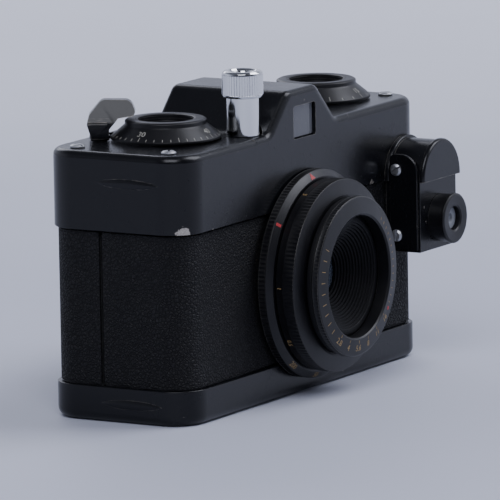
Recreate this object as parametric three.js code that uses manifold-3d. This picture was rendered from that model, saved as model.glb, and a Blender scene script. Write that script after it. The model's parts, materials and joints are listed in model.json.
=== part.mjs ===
// A subminiature camera for 16 mm film in cassettes: a leather-covered shell between a painted
// top housing and a base tray, with a lens head of four turned rings, two dials, a sliding wind
// lever, a column release and a flash contact box on the front.
// Millimetres. +Z is up, the lens looks along -Y, and the origin is the centre of the underside.
import * as THREE from "three";
import { mergeVertices } from "three/addons/utils/BufferGeometryUtils.js";
import Module from "manifold-3d";

const wasm = await Module();
wasm.setup();

// ---------------------------------------------------------------- driving sizes
const camera = {
  width: 76,
  depth: 26.5,
  deck: 43, // height of the deck, the flat top of the housing
  corner: 5.5, // radius of the upright corners, seen from above
  wall: 1, // sheet of the housing and the base tray
  coverHeight: 12.5,
  baseHeight: 5.7,
  baseFloor: 1.2,
  overhang: 0.6, // housing and tray stand this far proud of the covering
  skin: 0.5, // leather covering
  shellWall: 1.2,
  deckEdge: 1.2, // rounding of the deck's edge
  baseEdge: 1.5, // rounding of the tray's lower edge
  parting: 2.5, // y of the joint between the front shell and the back
  partingGap: 0.6,
};
const seat = 0.05; // between faces that rest on each other
const clear = 0.3; // round a shaft or a sleeve

const finder = { x: -0.8, foot: 21.8, top: 9.6, rise: 6.2, footRound: 2.2, topRound: 1.8,
  windowWidth: 6.6, windowHeight: 5.3, windowZ: 44, eyeRadius: 2.1, wall: 1 };
const dial = { footRadius: 8.8, rimRadius: 6.4, recessRadius: 4.4, height: 3.1, lip: 0.35,
  spindleRadius: 1.1, spindleLength: 1.9, teeth: 24, toothDepth: 0.14 };
const counter = { x: -21.4, y: 0 }; // exposure counter, on the axis of the wind lever
const memo = { x: 26.5, y: 0 }; // film speed reminder
const lever = { reach: 10.5, postRadius: 1.2, rest: 120, sweep: 60, armHeight: 1.4, armLow: 39.4,
  hubRadius: 2.6, slotPlay: 0.3, thumbLength: 7.2, thumbWidth: 4.8, thumbHeight: 2.3, thumbRise: 3.9,
  ribs: 6, shaftRadius: 1.2, shaftLow: 28.2 };
const gears = { module: 0.6, windTeeth: 22, cockTeeth: 13, thickness: 1.5, low: 33.2, direction: -19,
  cockShaft: 0.9 };
const release = { x: -12.9, y: -9.2, sleeveRadius: 2.6, sleeveHeight: 6.4, bore: 2, shank: 2.2,
  capRadius: 3.3, capHeight: 4.2, capLow: 6.2, skirt: 2.85, travel: 1.8, socket: 1.5,
  socketDepth: 1.2, knurls: 24, knurlDepth: 0.14, plunger: 0.9, plungerLow: 37,
  springRadius: 1.5, springWire: 0.22, springTurns: 5 };
const screw = { headRadius: 1.2, headHeight: 0.5, shank: 0.6, length: 3, slot: 0.35, slotDepth: 0.28,
  insetX: 3.4, insetY: 4.9 };
const lens = {
  z: 19.2,
  tubeOuter: 11, tubeInner: 9.9, tubeFront: 5.8, spigot: 9.4, spigotBore: 8.7, spigotDepth: 3.4, // fixed tube
  speedRadius: 16.8, speedEdge: 1.8, speedBevelRadius: 15.7, speedFront: 2.6, speedKnurls: 48,
  focusRadius: 15.5, focusFigures: 1.1, focusEdge: 6.1, focusBevelRadius: 13, focusFront: 6.6,
  focusKnurls: 44,
  cellRadius: 12.6, cellFront: 7.8, cellHub: 9.55, cellRear: -1.5, wellRadius: 11.2, wellFloor: 7,
  noseRadius: 9.5, noseFront: 7.4, coneRadius: 8.6, coneSteps: 5, glassRadius: 4.1, glassMouth: 3.6,
  coneFloor: 3, ironChamber: 8.4, chamberFront: 1.1,
  irisRadius: 12.9, irisEdge: 9.1, irisBack: 8.05, irisFront: 9.5, irisBore: 9.85, irisSleeve: 10.9,
  irisSleeveBack: 7.3, irisKnurls: 40,
  knurlDepth: 0.22, ringGap: 0.3,
};
const iris = { blades: 5, thickness: 0.1, pitch: 0.17, first: 0.05, inner: 4.7, outer: 7.3,
  span: 118, pivotRadius: 6.6, eyelet: 0.9, pinHole: 0.35 };
const film = { plane: 6, width: 16, thickness: 0.15, frameWidth: 14, frameHeight: 11,
  cassetteRadius: 7, cassetteHeight: 17.6, cassetteX: 24, mouth: 0.8, hub: 2.4, hubRecess: 1.2 };
const gate = { width: 18, height: 18.4, front: -8.2, railHeight: 0.4, railWidth: 1.6, tunnelRadius: 4.6 };
const shutter = { radius: 8.6, thickness: 0.7, y: -9.5, hole: 4.2, bladeThick: 0.15, pivot: 6.6,
  bladeSpan: 62 };
const box = { x: 31.55, width: 11.9, low: 18.9, depth: 5.6, wall: 0.9, capLip: 0.6, capThick: 0.85,
  capEdge: 0.35, plateThick: 0.4, plateInset: 0.35, plateTop: 3.5, plateRound: 3.4,
  socketX: 31.9, socketZ: 23.9, socketRadius: 3.9, socketDepth: 2.5, lipRadius: 4.15, lipThick: 0.55,
  pinRadius: 1.9, pinDepth: 0.5, screwRadius: 1, screwDepth: 1.85, screwHigh: 32.4, screwLow: 21.6 };
const lock = { x: 18, radius: 5, thickness: 0.9, shaft: 1.5, slotWidth: 1, slotDepth: 0.45, barLength: 12,
  barWidth: 3, barLow: 2.6, barHigh: 3.6 };

// ---------------------------------------------------------------- sizes that follow
const half = { x: camera.width / 2, y: camera.depth / 2 };
const coverLow = camera.deck - camera.coverHeight;
const shellLow = camera.baseFloor + seat;
const shellHigh = coverLow - clear;
const skinLow = camera.baseHeight + clear;
const shellInset = camera.overhang + camera.skin;
const backFrom = camera.parting + camera.partingGap;
const plateLow = shellHigh + clear;
const plateHigh = plateLow + camera.wall;
const gearDistance = (gears.module * (gears.windTeeth + gears.cockTeeth)) / 2;
const cock = {
  x: counter.x + gearDistance * Math.cos(rad(gears.direction)),
  y: counter.y + gearDistance * Math.sin(rad(gears.direction)),
};
const SMALL = 10; // facets round a small turned piece
const ROUND = 16;
const LARGE = 28;
const CORNER = 5; // facets of an upright corner

// ---------------------------------------------------------------- materials
const paint = (colour, roughness, metalness) =>
  new THREE.MeshStandardMaterial({ color: colour, roughness, metalness });
const materials = {
  enamel: paint(0x15161a, 0.36, 0.2), // satin black lacquer
  leather: paint(0x17181b, 0.75, 0),
  anodised: paint(0x121317, 0.4, 0.5), // lens rings and dials
  chrome: paint(0xc9ccd0, 0.18, 1),
  steel: paint(0x8d9095, 0.35, 1),
  brass: paint(0xb08d4a, 0.35, 1),
  castMetal: paint(0x55585c, 0.6, 0.7),
  glass: paint(0x2b3140, 0.05, 0),
  filmBase: paint(0x30281f, 0.5, 0),
  insulator: paint(0x5f6269, 0.5, 0),
};

// ---------------------------------------------------------------- shape helpers
function rad(degrees) {
  return (degrees * Math.PI) / 180;
}

// A closed geometry as a solid that can be joined and cut; a solid passes through.
function solid(form) {
  if (!form.isBufferGeometry) return form;
  const bare = form.clone();
  bare.deleteAttribute("normal");
  bare.deleteAttribute("uv");
  const merged = mergeVertices(bare, 1e-4);
  const kept = [];
  const index = merged.index.array;
  for (let i = 0; i < index.length; i += 3) {
    const [a, b, c] = [index[i], index[i + 1], index[i + 2]];
    if (a !== b && b !== c && c !== a) kept.push(a, b, c);
  }
  return new wasm.Manifold(
    new wasm.Mesh({
      numProp: 3,
      vertProperties: merged.attributes.position.array,
      triVerts: new Uint32Array(kept),
    }),
  );
}

const cut = (form, ...tools) => tools.reduce((left, tool) => left.subtract(solid(tool)), solid(form));
const join = (form, ...more) => more.reduce((sum, next) => sum.add(solid(next)), solid(form));
const common = (form, other) => solid(form).intersect(solid(other));

// One named mesh of a solid or a geometry, placed in its parent group.
function piece(parent, name, form, material, x = 0, y = 0, z = 0) {
  const made = solid(form).getMesh();
  const geometry = new THREE.BufferGeometry();
  geometry.setAttribute("position", new THREE.BufferAttribute(new Float32Array(made.vertProperties), 3));
  geometry.setIndex(new THREE.BufferAttribute(new Uint32Array(made.triVerts), 1));
  geometry.computeVertexNormals();
  const mesh = new THREE.Mesh(geometry, material);
  mesh.name = name;
  mesh.position.set(x, y, z);
  parent.add(mesh);
  return mesh;
}

function group(parent, x = 0, y = 0, z = 0) {
  const made = new THREE.Group();
  made.position.set(x, y, z);
  parent.add(made);
  return made;
}

function block(x0, x1, y0, y1, z0, z1) {
  const made = new THREE.BoxGeometry(x1 - x0, y1 - y0, z1 - z0);
  return made.translate((x0 + x1) / 2, (y0 + y1) / 2, (z0 + z1) / 2);
}

// A profile of [radius, height] points revolved round Z: up the outside, down the inside.
function turned(profile, facets = ROUND) {
  const points = profile.map(([radius, height]) => new THREE.Vector2(radius, height));
  return new THREE.LatheGeometry(points, facets).rotateX(Math.PI / 2);
}

const rod = (radius, low, high, facets = SMALL) =>
  turned([[0, low], [radius, low], [radius, high], [0, high]], facets);
const tube = (inner, outer, low, high, facets = ROUND) =>
  turned([[inner, low], [outer, low], [outer, high], [inner, high], [inner, low]], facets);

function roundedRect(width, depth, radius) {
  const [x, y] = [width / 2, depth / 2];
  const shape = new THREE.Shape();
  shape.absarc(x - radius, y - radius, radius, 0, Math.PI / 2);
  shape.absarc(radius - x, y - radius, radius, Math.PI / 2, Math.PI);
  shape.absarc(radius - x, radius - y, radius, Math.PI, 1.5 * Math.PI);
  shape.absarc(x - radius, radius - y, radius, 1.5 * Math.PI, 2 * Math.PI);
  return shape;
}

// The camera's plan outline, drawn in by inset all round.
const plan = (inset) =>
  roundedRect(camera.width - 2 * inset, camera.depth - 2 * inset, camera.corner - inset);

function slab(outline, low, high, curveSegments = CORNER) {
  const options = { depth: high - low, bevelEnabled: false, curveSegments };
  return new THREE.ExtrudeGeometry(outline, options).translate(0, 0, low);
}

// A slab with its upper edge rounded, or its lower edge when edge is negative.
function softSlab(outline, low, high, edge, curveSegments = CORNER) {
  const round = Math.abs(edge);
  const options = { depth: high - low, bevelThickness: round, bevelSize: round, bevelOffset: -round,
    bevelSegments: 3, curveSegments };
  const shift = edge > 0 ? low - round : low + round;
  const made = new THREE.ExtrudeGeometry(outline, options).translate(0, 0, shift);
  const far = 2 * camera.width;
  const waste = edge > 0 ? block(-far, far, -far, far, low - far, low) : block(-far, far, -far, far, high, high + far);
  return cut(made, waste);
}

// A polygon whose corners [x, y, radius] are rounded by arcs.
function filleted(corners) {
  const shape = new THREE.Shape();
  const count = corners.length;
  corners.forEach(([x, y, radius = 0], i) => {
    const here = new THREE.Vector2(x, y);
    const before = new THREE.Vector2(...corners[(i + count - 1) % count].slice(0, 2)).sub(here);
    const after = new THREE.Vector2(...corners[(i + 1) % count].slice(0, 2)).sub(here);
    const turn = before.angleTo(after) / 2;
    const back = radius / Math.tan(turn);
    const start = here.clone().addScaledVector(before.normalize(), back);
    const end = here.clone().addScaledVector(after.normalize(), back);
    if (i === 0) shape.moveTo(start.x, start.y);
    else shape.lineTo(start.x, start.y);
    if (radius > 0) {
      const inward = before.clone().add(after).normalize();
      const centre = here.clone().addScaledVector(inward, radius / Math.sin(turn));
      const from = Math.atan2(start.y - centre.y, start.x - centre.x);
      const to = Math.atan2(end.y - centre.y, end.x - centre.x);
      shape.absarc(centre.x, centre.y, radius, from, to, before.cross(after) > 0);
    }
  });
  return shape;
}

// A toothed outline: each tooth is a list of [share of the pitch, radius].
function toothed(teeth, tooth) {
  const points = [];
  for (let i = 0; i < teeth; i++)
    for (const [share, radius] of tooth) {
      const angle = ((i + share) * 2 * Math.PI) / teeth;
      points.push(new THREE.Vector2(radius * Math.cos(angle), radius * Math.sin(angle)));
    }
  return new THREE.Shape(points);
}

const knurl = (radius, depth, teeth) => toothed(teeth, [[0, radius - depth], [0.5, radius]]);

function gear(teeth, bore) {
  const pitch = (gears.module * teeth) / 2;
  const root = pitch - 1.2 * gears.module;
  const tip = pitch + 0.85 * gears.module;
  const outline = toothed(teeth, [[-0.3, root], [-0.11, tip], [0.11, tip], [0.3, root]]);
  return cut(slab(outline, 0, gears.thickness), rod(bore, -1, gears.thickness + 1));
}

// A slot that follows an arc round the origin, with round ends.
function arcSlot(radius, halfWidth, from, to) {
  const shape = new THREE.Shape();
  const ends = [from, to].map((a) => [radius * Math.cos(a), radius * Math.sin(a)]);
  shape.absarc(0, 0, radius + halfWidth, from, to);
  shape.absarc(ends[1][0], ends[1][1], halfWidth, to, to + Math.PI);
  shape.absarc(0, 0, radius - halfWidth, to, from, true);
  shape.absarc(ends[0][0], ends[0][1], halfWidth, from + Math.PI, from + 2 * Math.PI);
  return shape;
}

// A shallow lens-shaped bead pressed out of an end wall, lying along Y.
function endBead(length, height, proud) {
  const shape = new THREE.Shape();
  shape.moveTo(-length / 2, 0);
  shape.quadraticCurveTo(0, -height, length / 2, 0);
  shape.quadraticCurveTo(0, height, -length / 2, 0);
  const options = { depth: 0.3, bevelThickness: proud, bevelSize: proud, bevelOffset: -proud,
    bevelSegments: 1, curveSegments: 5 };
  return new THREE.ExtrudeGeometry(shape, options).translate(0, 0, -0.3).rotateX(Math.PI / 2).rotateZ(Math.PI / 2);
}

// Cuts across the camera's depth, from a front outline drawn in x and z.
const throughDepth = (outline, from, to, curveSegments) =>
  slab(outline, -to, -from, curveSegments).rotateX(Math.PI / 2);

// ---------------------------------------------------------------- the root and its bodies
const root = new THREE.Group();

// Front shell, open behind and below, with the covering round it.
function frontShell() {
  const behind = block(-half.x, half.x, camera.parting, half.y + 1, -1, camera.deck);
  const lensBore = rod(lens.spigot + clear, 0, half.y, LARGE)
    .rotateX(Math.PI / 2)
    .translate(0, 0, lens.z);
  const shaftHoles = [
    rod(lever.shaftRadius + clear, shellLow, camera.deck).translate(counter.x, counter.y, 0),
    rod(gears.cockShaft + clear, shellLow, camera.deck).translate(cock.x, cock.y, 0),
  ];
  const shell = cut(
    slab(plan(shellInset), shellLow, shellHigh),
    slab(plan(shellInset + camera.shellWall), shellLow - 1, shellHigh - camera.shellWall),
    behind,
    lensBore,
    ...shaftHoles,
  );
  piece(root, "front_body", shell, materials.castMetal);
  const covering = cut(
    slab(plan(camera.overhang), skinLow, shellHigh),
    slab(plan(shellInset - seat), skinLow - 1, shellHigh + 1),
    behind,
    rod(lens.tubeOuter + clear, 0, half.y, LARGE).rotateX(Math.PI / 2).translate(0, 0, lens.z),
  );
  piece(root, "front_covering", covering, materials.leather);
}

// Outline of the finder hump, drawn in x and z, reaching down into the housing.
function humpOutline(inset, sink) {
  const [foot, top] = [finder.foot / 2 - inset, finder.top / 2 - inset];
  const high = finder.rise - inset;
  const convex = Math.max(finder.topRound - inset, 0.3);
  return filleted([
    [-foot - 4, -sink],
    [foot + 4, -sink],
    [foot + 4, -inset],
    [foot, -inset, finder.footRound],
    [top, high, convex],
    [-top, high, convex],
    [-foot, -inset, finder.footRound],
    [-foot - 4, -inset],
  ]);
}

function screwPlaces() {
  const [x, y] = [half.x - screw.insetX, half.y - screw.insetY];
  return [[-x, -y], [x, -y], [-x, y], [x, y]];
}

// Top housing: one pressed shell with the finder hump, its holes and the lever slot.
function topHousing() {
  const at = (form, x, y) => form.translate(x, y, 0);
  const above = camera.deck + finder.rise + 1;
  const inner = camera.deck - camera.wall;
  const hump = throughDepth(humpOutline(0, 3), -half.y, half.y).translate(finder.x, 0, camera.deck);
  const humpRoom = throughDepth(humpOutline(finder.wall, 6), finder.wall - half.y, half.y - finder.wall)
    .translate(finder.x, 0, camera.deck);
  const window = throughDepth(roundedRect(finder.windowWidth, finder.windowHeight, 0.5), -half.y - 1, 0, 3)
    .translate(finder.x, 0, finder.windowZ);
  const eyeHole = rod(finder.eyeRadius + 0.6 + clear, 0, half.y + 1, SMALL)
    .rotateX(-Math.PI / 2)
    .translate(finder.x, 0, finder.windowZ);
  const slot = arcSlot(lever.reach, lever.postRadius + lever.slotPlay,
    rad(lever.rest - lever.sweep), rad(lever.rest));
  const beadPlace = { z: coverLow + 0.62 * camera.coverHeight, y: -0.1 * camera.depth };
  const bead = endBead(0.42 * camera.depth, 1.5, 0.25);
  const housing = cut(
    join(
      softSlab(plan(0), coverLow, camera.deck, camera.deckEdge),
      hump,
      bead.clone().translate(half.x, -beadPlace.y, beadPlace.z),
      bead.clone().rotateZ(Math.PI).translate(-half.x, beadPlace.y, beadPlace.z),
    ),
    slab(plan(camera.wall), coverLow - 1, inner),
    humpRoom,
    window,
    eyeHole,
    at(rod(dial.spindleRadius + clear, inner - 1, above), counter.x, counter.y),
    at(rod(dial.spindleRadius + clear, inner - 1, above), memo.x, memo.y),
    at(rod(release.shank + clear, inner - 1, camera.deck + seat), release.x, release.y),
    at(rod(release.sleeveRadius + clear, camera.deck, above), release.x, release.y),
    at(slab(slot, inner - 1, camera.deck + 1, 8), counter.x, counter.y),
    ...screwPlaces().map(([x, y]) => at(rod(screw.shank + clear, inner - 1, camera.deck + 1), x, y)),
  );
  piece(root, "top_housing", housing, materials.enamel);
}

function slottedScrew(headRadius, length) {
  const body = turned([
    [0, -length], [screw.shank, -length], [screw.shank, seat], [headRadius, seat],
    [headRadius, 0.6 * screw.headHeight], [headRadius - 0.35, screw.headHeight], [0, screw.headHeight],
  ], SMALL);
  return cut(body, block(-2, 2, -screw.slot / 2, screw.slot / 2, screw.headHeight - screw.slotDepth, 2));
}

function deckScrews() {
  const turns = [25, -40, 70, 10];
  screwPlaces().forEach(([x, y], i) => {
    const made = piece(root, `deck_screw_${i + 1}`, slottedScrew(screw.headRadius, screw.length),
      materials.steel, x, y, camera.deck);
    made.rotation.z = rad(turns[i]);
  });
}

// Reversed Galilean finder: square front glass, round eye lens in a turned ring.
function finderOptics() {
  const glassGap = 2 * clear;
  const front = throughDepth(
    roundedRect(finder.windowWidth - glassGap, finder.windowHeight - glassGap, 0.4), 0, 0.9, 3);
  piece(root, "finder_front_glass", front, materials.glass, finder.x, -half.y + 0.4, finder.windowZ);
  const eye = group(root, finder.x, half.y, finder.windowZ);
  eye.rotation.x = -Math.PI / 2;
  const ring = turned([
    [finder.eyeRadius, -1.6], [finder.eyeRadius + 0.6, -1.6], [finder.eyeRadius + 0.6, seat],
    [finder.eyeRadius + 1.2, seat], [finder.eyeRadius + 0.9, 0.5], [finder.eyeRadius, 0.5],
    [finder.eyeRadius, -1.6],
  ]);
  piece(eye, "eyepiece_frame", ring, materials.anodised);
  const bulge = turned([
    [0, -1.5], [finder.eyeRadius - seat, -1.5], [finder.eyeRadius - seat, -0.5], [1.3, -0.2], [0, -0.1],
  ], SMALL);
  piece(eye, "finder_eye_lens", bulge, materials.glass);
}

// Mechanism plate under the housing, with bearings for the two upright shafts.
function mechanismPlate() {
  const bearing = (x, y, radius) => tube(radius + clear, radius + 1.2, plateHigh - 0.2, gears.low - clear, SMALL)
    .translate(x, y, 0);
  const plate = cut(
    slab(plan(camera.wall + clear), plateLow, plateHigh),
    rod(lever.shaftRadius + clear, plateLow - 1, plateHigh + 1).translate(counter.x, counter.y, 0),
    rod(gears.cockShaft + clear, plateLow - 1, plateHigh + 1).translate(cock.x, cock.y, 0),
  );
  const made = join(plate, bearing(counter.x, counter.y, lever.shaftRadius), bearing(cock.x, cock.y, gears.cockShaft));
  piece(root, "mechanism_plate", made, materials.brass);
}

// ---------------------------------------------------------------- winding
// The lever: an arm under the deck, a post through the slot, and a ribbed thumb-piece above.
function windLever() {
  const turn = group(root, counter.x, counter.y, 0);
  turn.rotation.z = rad(lever.rest);
  const armHigh = lever.armLow + lever.armHeight;
  const thumbLow = camera.deck + lever.thumbRise;
  const outer = lever.reach + lever.postRadius + 0.3;
  const arm = filleted([
    [0, -1.5], [lever.reach, -1.3, 0], [lever.reach + 1.3, -1.3, 1], [lever.reach + 1.3, 1.3, 1],
    [lever.reach, 1.3, 0], [0, 1.5],
  ]);
  const thumb = softSlab(roundedRect(lever.thumbLength, lever.thumbWidth, 1.4), thumbLow,
    thumbLow + lever.thumbHeight, 0.9, 3);
  const centre = outer - lever.thumbLength / 2;
  const grooves = [];
  for (let i = 0; i < lever.ribs; i++) {
    const x = centre + (i - (lever.ribs - 1) / 2) * (lever.thumbLength / (lever.ribs + 1.5));
    grooves.push(block(x - 0.2, x + 0.2, -4, 4, thumbLow + lever.thumbHeight - 0.45, thumbLow + 9));
  }
  const body = cut(
    join(
      rod(lever.hubRadius, lever.armLow, armHigh, ROUND),
      slab(arm, lever.armLow, armHigh, 4),
      rod(lever.postRadius, lever.armLow + 0.2, thumbLow + 0.5).translate(lever.reach, 0, 0),
      solid(thumb).translate([centre, 0, 0]),
    ),
    rod(lever.shaftRadius + seat, lever.armLow - 1, armHigh + 1),
    ...grooves,
  );
  piece(turn, "wind_lever", body, materials.enamel);
  const shaft = join(
    gear(gears.windTeeth, lever.shaftRadius - 0.2).translate([0, 0, gears.low]),
    rod(lever.shaftRadius, lever.shaftLow, armHigh - 0.1),
  );
  piece(turn, "wind_gear", shaft, materials.brass).rotation.z = rad(gears.direction - lever.rest);
}

// The pinion that cocks the shutter, in mesh with the wind gear.
function cockingGear() {
  const made = join(
    gear(gears.cockTeeth, gears.cockShaft - 0.2).translate([0, 0, gears.low]),
    rod(gears.cockShaft, lever.shaftLow, gears.low + gears.thickness + 1),
  );
  const mesh = piece(root, "cocking_gear", made, materials.steel, cock.x, cock.y, 0);
  mesh.rotation.z = rad(gears.direction + 180) + Math.PI / gears.cockTeeth;
}

// ---------------------------------------------------------------- dials and release
// A dial like a low cone with a serrated foot and a sunk centre.
function dialForm() {
  const { footRadius, rimRadius, recessRadius, height, lip, spindleRadius, spindleLength } = dial;
  const body = turned([
    [0, -spindleLength], [spindleRadius, -spindleLength], [spindleRadius, 0], [footRadius, 0],
    [footRadius, lip], [rimRadius + 0.35, 0.66 * height], [rimRadius, 0.72 * height],
    [rimRadius, 0.92 * height], [rimRadius - 0.3, height], [recessRadius + 0.15, height],
    [recessRadius, 0.94 * height], [recessRadius, 0.62 * height], [1.2, 0.62 * height],
    [0.9, 0.7 * height], [0, 0.7 * height],
  ], LARGE);
  const serrated = slab(knurl(footRadius, dial.toothDepth, dial.teeth), -spindleLength - 1, height + 1, 1);
  return common(body, serrated);
}

function dials() {
  piece(root, "counter_dial", dialForm(), materials.anodised, counter.x, counter.y, camera.deck + clear);
  piece(root, "memo_dial", dialForm(), materials.anodised, memo.x, memo.y, camera.deck + clear);
}

function helix(radius, low, high, turns) {
  class Helix extends THREE.Curve {
    getPoint(t, target = new THREE.Vector3()) {
      const angle = 2 * Math.PI * turns * t;
      return target.set(radius * Math.cos(angle), radius * Math.sin(angle), low + (high - low) * t);
    }
  }
  return new Helix();
}

// Column release: a polished sleeve, and a knurled cap that telescopes over it on a spring.
function releaseColumn() {
  const at = group(root, release.x, release.y, camera.deck);
  const { sleeveRadius, sleeveHeight, bore, shank, capLow, capHeight, skirt, travel } = release;
  const sleeve = turned([
    [bore, -1.5], [shank, -1.5], [shank, seat], [sleeveRadius, seat], [sleeveRadius, sleeveHeight - 0.2],
    [sleeveRadius - 0.2, sleeveHeight], [bore, sleeveHeight], [bore, -1.5],
  ]);
  piece(at, "release_sleeve", sleeve, materials.chrome);
  const roof = sleeveHeight + travel + clear;
  const top = capLow + capHeight;
  const cap = turned([
    [0, release.plungerLow - camera.deck], [release.plunger, release.plungerLow - camera.deck],
    [release.plunger, roof], [skirt, roof], [skirt, capLow], [release.capRadius - 0.1, capLow],
    [release.capRadius, capLow + 0.2], [release.capRadius, top - 0.35], [release.capRadius - 0.35, top],
    [release.socket, top], [release.socket, top - release.socketDepth], [0, top - release.socketDepth],
  ], ROUND);
  const rim = slab(knurl(release.capRadius, release.knurlDepth, release.knurls), -10, top + 1, 1);
  piece(at, "release_cap", common(cap, rim), materials.chrome);
  const { springRadius, springWire, springTurns } = release;
  const wire = new THREE.Shape();
  wire.absarc(0, 0, springWire, 0, 2 * Math.PI);
  const path = helix(springRadius, springWire + 0.6, roof - springWire - 0.1, springTurns);
  const spring = new THREE.ExtrudeGeometry(wire, { steps: 8 * springTurns, curveSegments: 2, extrudePath: path });
  piece(at, "release_spring", spring, materials.steel);
}

// ---------------------------------------------------------------- lens head
// Pieces are drawn with the lens axis as Z, from the front plane of the housing.
const head = group(root, 0, -half.y, lens.z);
head.rotation.x = Math.PI / 2;

function lensMount() {
  const face = seat - shellInset;
  const floor = lens.cellRear - 0.1;
  const mount = turned([
    [lens.spigotBore, -lens.spigotDepth], [lens.spigot, -lens.spigotDepth], [lens.spigot, face],
    [lens.tubeOuter, face], [lens.tubeOuter, lens.tubeFront], [lens.tubeInner, lens.tubeFront],
    [lens.tubeInner, floor], [lens.spigotBore, floor], [lens.spigotBore, -lens.spigotDepth],
  ], LARGE);
  piece(head, "lens_mount", mount, materials.brass);
}

function knurledRing(profile, radius, teeth) {
  return common(turned(profile, LARGE), slab(knurl(radius, lens.knurlDepth, teeth), -5, 15, 1));
}

function speedRing() {
  const bore = lens.tubeOuter + lens.ringGap;
  const ring = turned([
    [bore, clear], [lens.speedRadius, clear], [lens.speedRadius, lens.speedEdge],
    [lens.speedBevelRadius, lens.speedFront], [bore, lens.speedFront], [bore, clear],
  ], LARGE);
  const knurled = slab(knurl(lens.speedRadius, lens.knurlDepth, lens.speedKnurls), -1, lens.speedEdge, 1);
  const rest = rod(lens.speedRadius - lens.knurlDepth, 0, 10, LARGE);
  piece(head, "speed_ring", common(ring, join(knurled, rest)), materials.anodised);
}

function focusRing() {
  const bore = lens.tubeOuter + lens.ringGap;
  const back = lens.speedFront + lens.ringGap;
  const ring = turned([
    [bore, back], [lens.focusRadius - 0.2, back], [lens.focusRadius - 0.2, back + lens.focusFigures],
    [lens.focusRadius, back + lens.focusFigures + 0.1], [lens.focusRadius, lens.focusEdge],
    [lens.focusBevelRadius, lens.focusFront], [bore, lens.focusFront], [bore, back],
  ], LARGE);
  const band = slab(knurl(lens.focusRadius, lens.knurlDepth, lens.focusKnurls), back + lens.focusFigures, 10, 1);
  const figures = rod(lens.focusRadius - lens.knurlDepth, 0, 10, LARGE);
  piece(head, "focus_ring", common(ring, join(band, figures)), materials.anodised);
}

// The lens cell: hub in the mount tube, collar in front, and a stepped glare cone to the glass.
function lensCell() {
  const hubFront = lens.focusFront - 0.5;
  const collarBack = lens.focusFront + lens.ringGap;
  const profile = [
    [lens.ironChamber, lens.cellRear], [lens.cellHub, lens.cellRear], [lens.cellHub, hubFront],
    [lens.tubeOuter - clear, hubFront], [lens.tubeOuter - clear, collarBack], [lens.cellRadius, collarBack],
    [lens.cellRadius, lens.cellFront], [lens.wellRadius, lens.cellFront], [lens.wellRadius, lens.wellFloor],
    [lens.noseRadius, lens.wellFloor], [lens.noseRadius, lens.noseFront], [lens.coneRadius, lens.noseFront],
  ];
  const fall = (lens.noseFront - lens.coneFloor) / lens.coneSteps;
  const narrow = (lens.coneRadius - lens.glassMouth) / lens.coneSteps;
  for (let i = 1; i <= lens.coneSteps; i++) {
    const height = lens.noseFront - i * fall;
    profile.push([lens.coneRadius - (i - 1) * narrow, height], [lens.coneRadius - i * narrow, height]);
  }
  profile.push(
    [lens.glassMouth, lens.coneFloor - 0.5], [lens.glassRadius + seat, lens.coneFloor - 0.5],
    [lens.glassRadius + seat, lens.chamberFront], [lens.ironChamber, lens.chamberFront],
    [lens.ironChamber, lens.cellRear],
  );
  piece(head, "lens_cell", turned(profile, LARGE), materials.anodised);
}

function lensGlass() {
  const seatFront = lens.coneFloor - 0.5 - seat;
  const front = turned([
    [0, lens.chamberFront + 0.1], [2.6, lens.chamberFront + 0.15], [lens.glassRadius, lens.chamberFront + 0.3],
    [lens.glassRadius, seatFront], [3.4, seatFront], [2.4, seatFront + 0.3], [1.2, seatFront + 0.48],
    [0, seatFront + 0.54],
  ], ROUND);
  piece(head, "front_element", front, materials.glass);
  const bladesRear = -iris.thickness;
  const rearCell = turned([
    [lens.glassRadius + seat, lens.cellRear], [lens.ironChamber - 0.1, lens.cellRear],
    [lens.ironChamber - 0.1, bladesRear - 0.2], [lens.glassRadius + seat, bladesRear - 0.2],
    [lens.glassRadius + seat, lens.cellRear],
  ]);
  piece(head, "rear_cell", rearCell, materials.anodised);
  const rear = turned([
    [0, lens.cellRear - 0.35], [1.8, lens.cellRear - 0.22], [lens.glassRadius, lens.cellRear + 0.15],
    [lens.glassRadius, bladesRear - 0.35], [0, bladesRear - 0.5],
  ], ROUND);
  piece(head, "rear_element", rear, materials.glass);
}

function apertureRing() {
  const ring = knurledRing([
    [lens.irisBore, lens.irisSleeveBack], [lens.irisSleeve, lens.irisSleeveBack],
    [lens.irisSleeve, lens.irisBack], [lens.irisRadius, lens.irisBack], [lens.irisRadius, lens.irisEdge - 0.1],
    [lens.irisRadius - 0.25, lens.irisEdge], [lens.irisBore + 0.25, lens.irisFront],
    [lens.irisBore, lens.irisFront - 0.2], [lens.irisBore, lens.irisSleeveBack],
  ], lens.irisRadius, lens.irisKnurls);
  piece(head, "aperture_ring", ring, materials.anodised);
}

// The iris: thin crescents, each in its own layer, turning on a pin near the chamber wall.
function irisBlades() {
  const { blades, thickness, pitch, first, inner, outer, span, pivotRadius, eyelet, pinHole } = iris;
  const crescent = new THREE.Shape();
  crescent.absarc(0, 0, outer, 0, rad(span));
  crescent.absarc(((inner + outer) / 2) * Math.cos(rad(span)), ((inner + outer) / 2) * Math.sin(rad(span)),
    (outer - inner) / 2, rad(span), rad(span) + Math.PI);
  crescent.absarc(0, 0, inner, rad(span), 0, true);
  const ear = new THREE.Shape();
  ear.absarc(pivotRadius, 0, eyelet, 0, 2 * Math.PI);
  const pin = new THREE.Shape();
  pin.absarc(pivotRadius, 0, pinHole, 0, 2 * Math.PI);
  const blade = cut(
    join(slab(crescent, 0, thickness, 6), slab(ear, 0, thickness, 4)),
    slab(pin, -1, 1, 3),
  );
  for (let i = 0; i < blades; i++) {
    const turn = group(head, 0, 0, first + i * pitch);
    turn.rotation.z = (i * 2 * Math.PI) / blades;
    piece(turn, `iris_blade_${i + 1}`, blade, materials.steel);
  }
}

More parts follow.
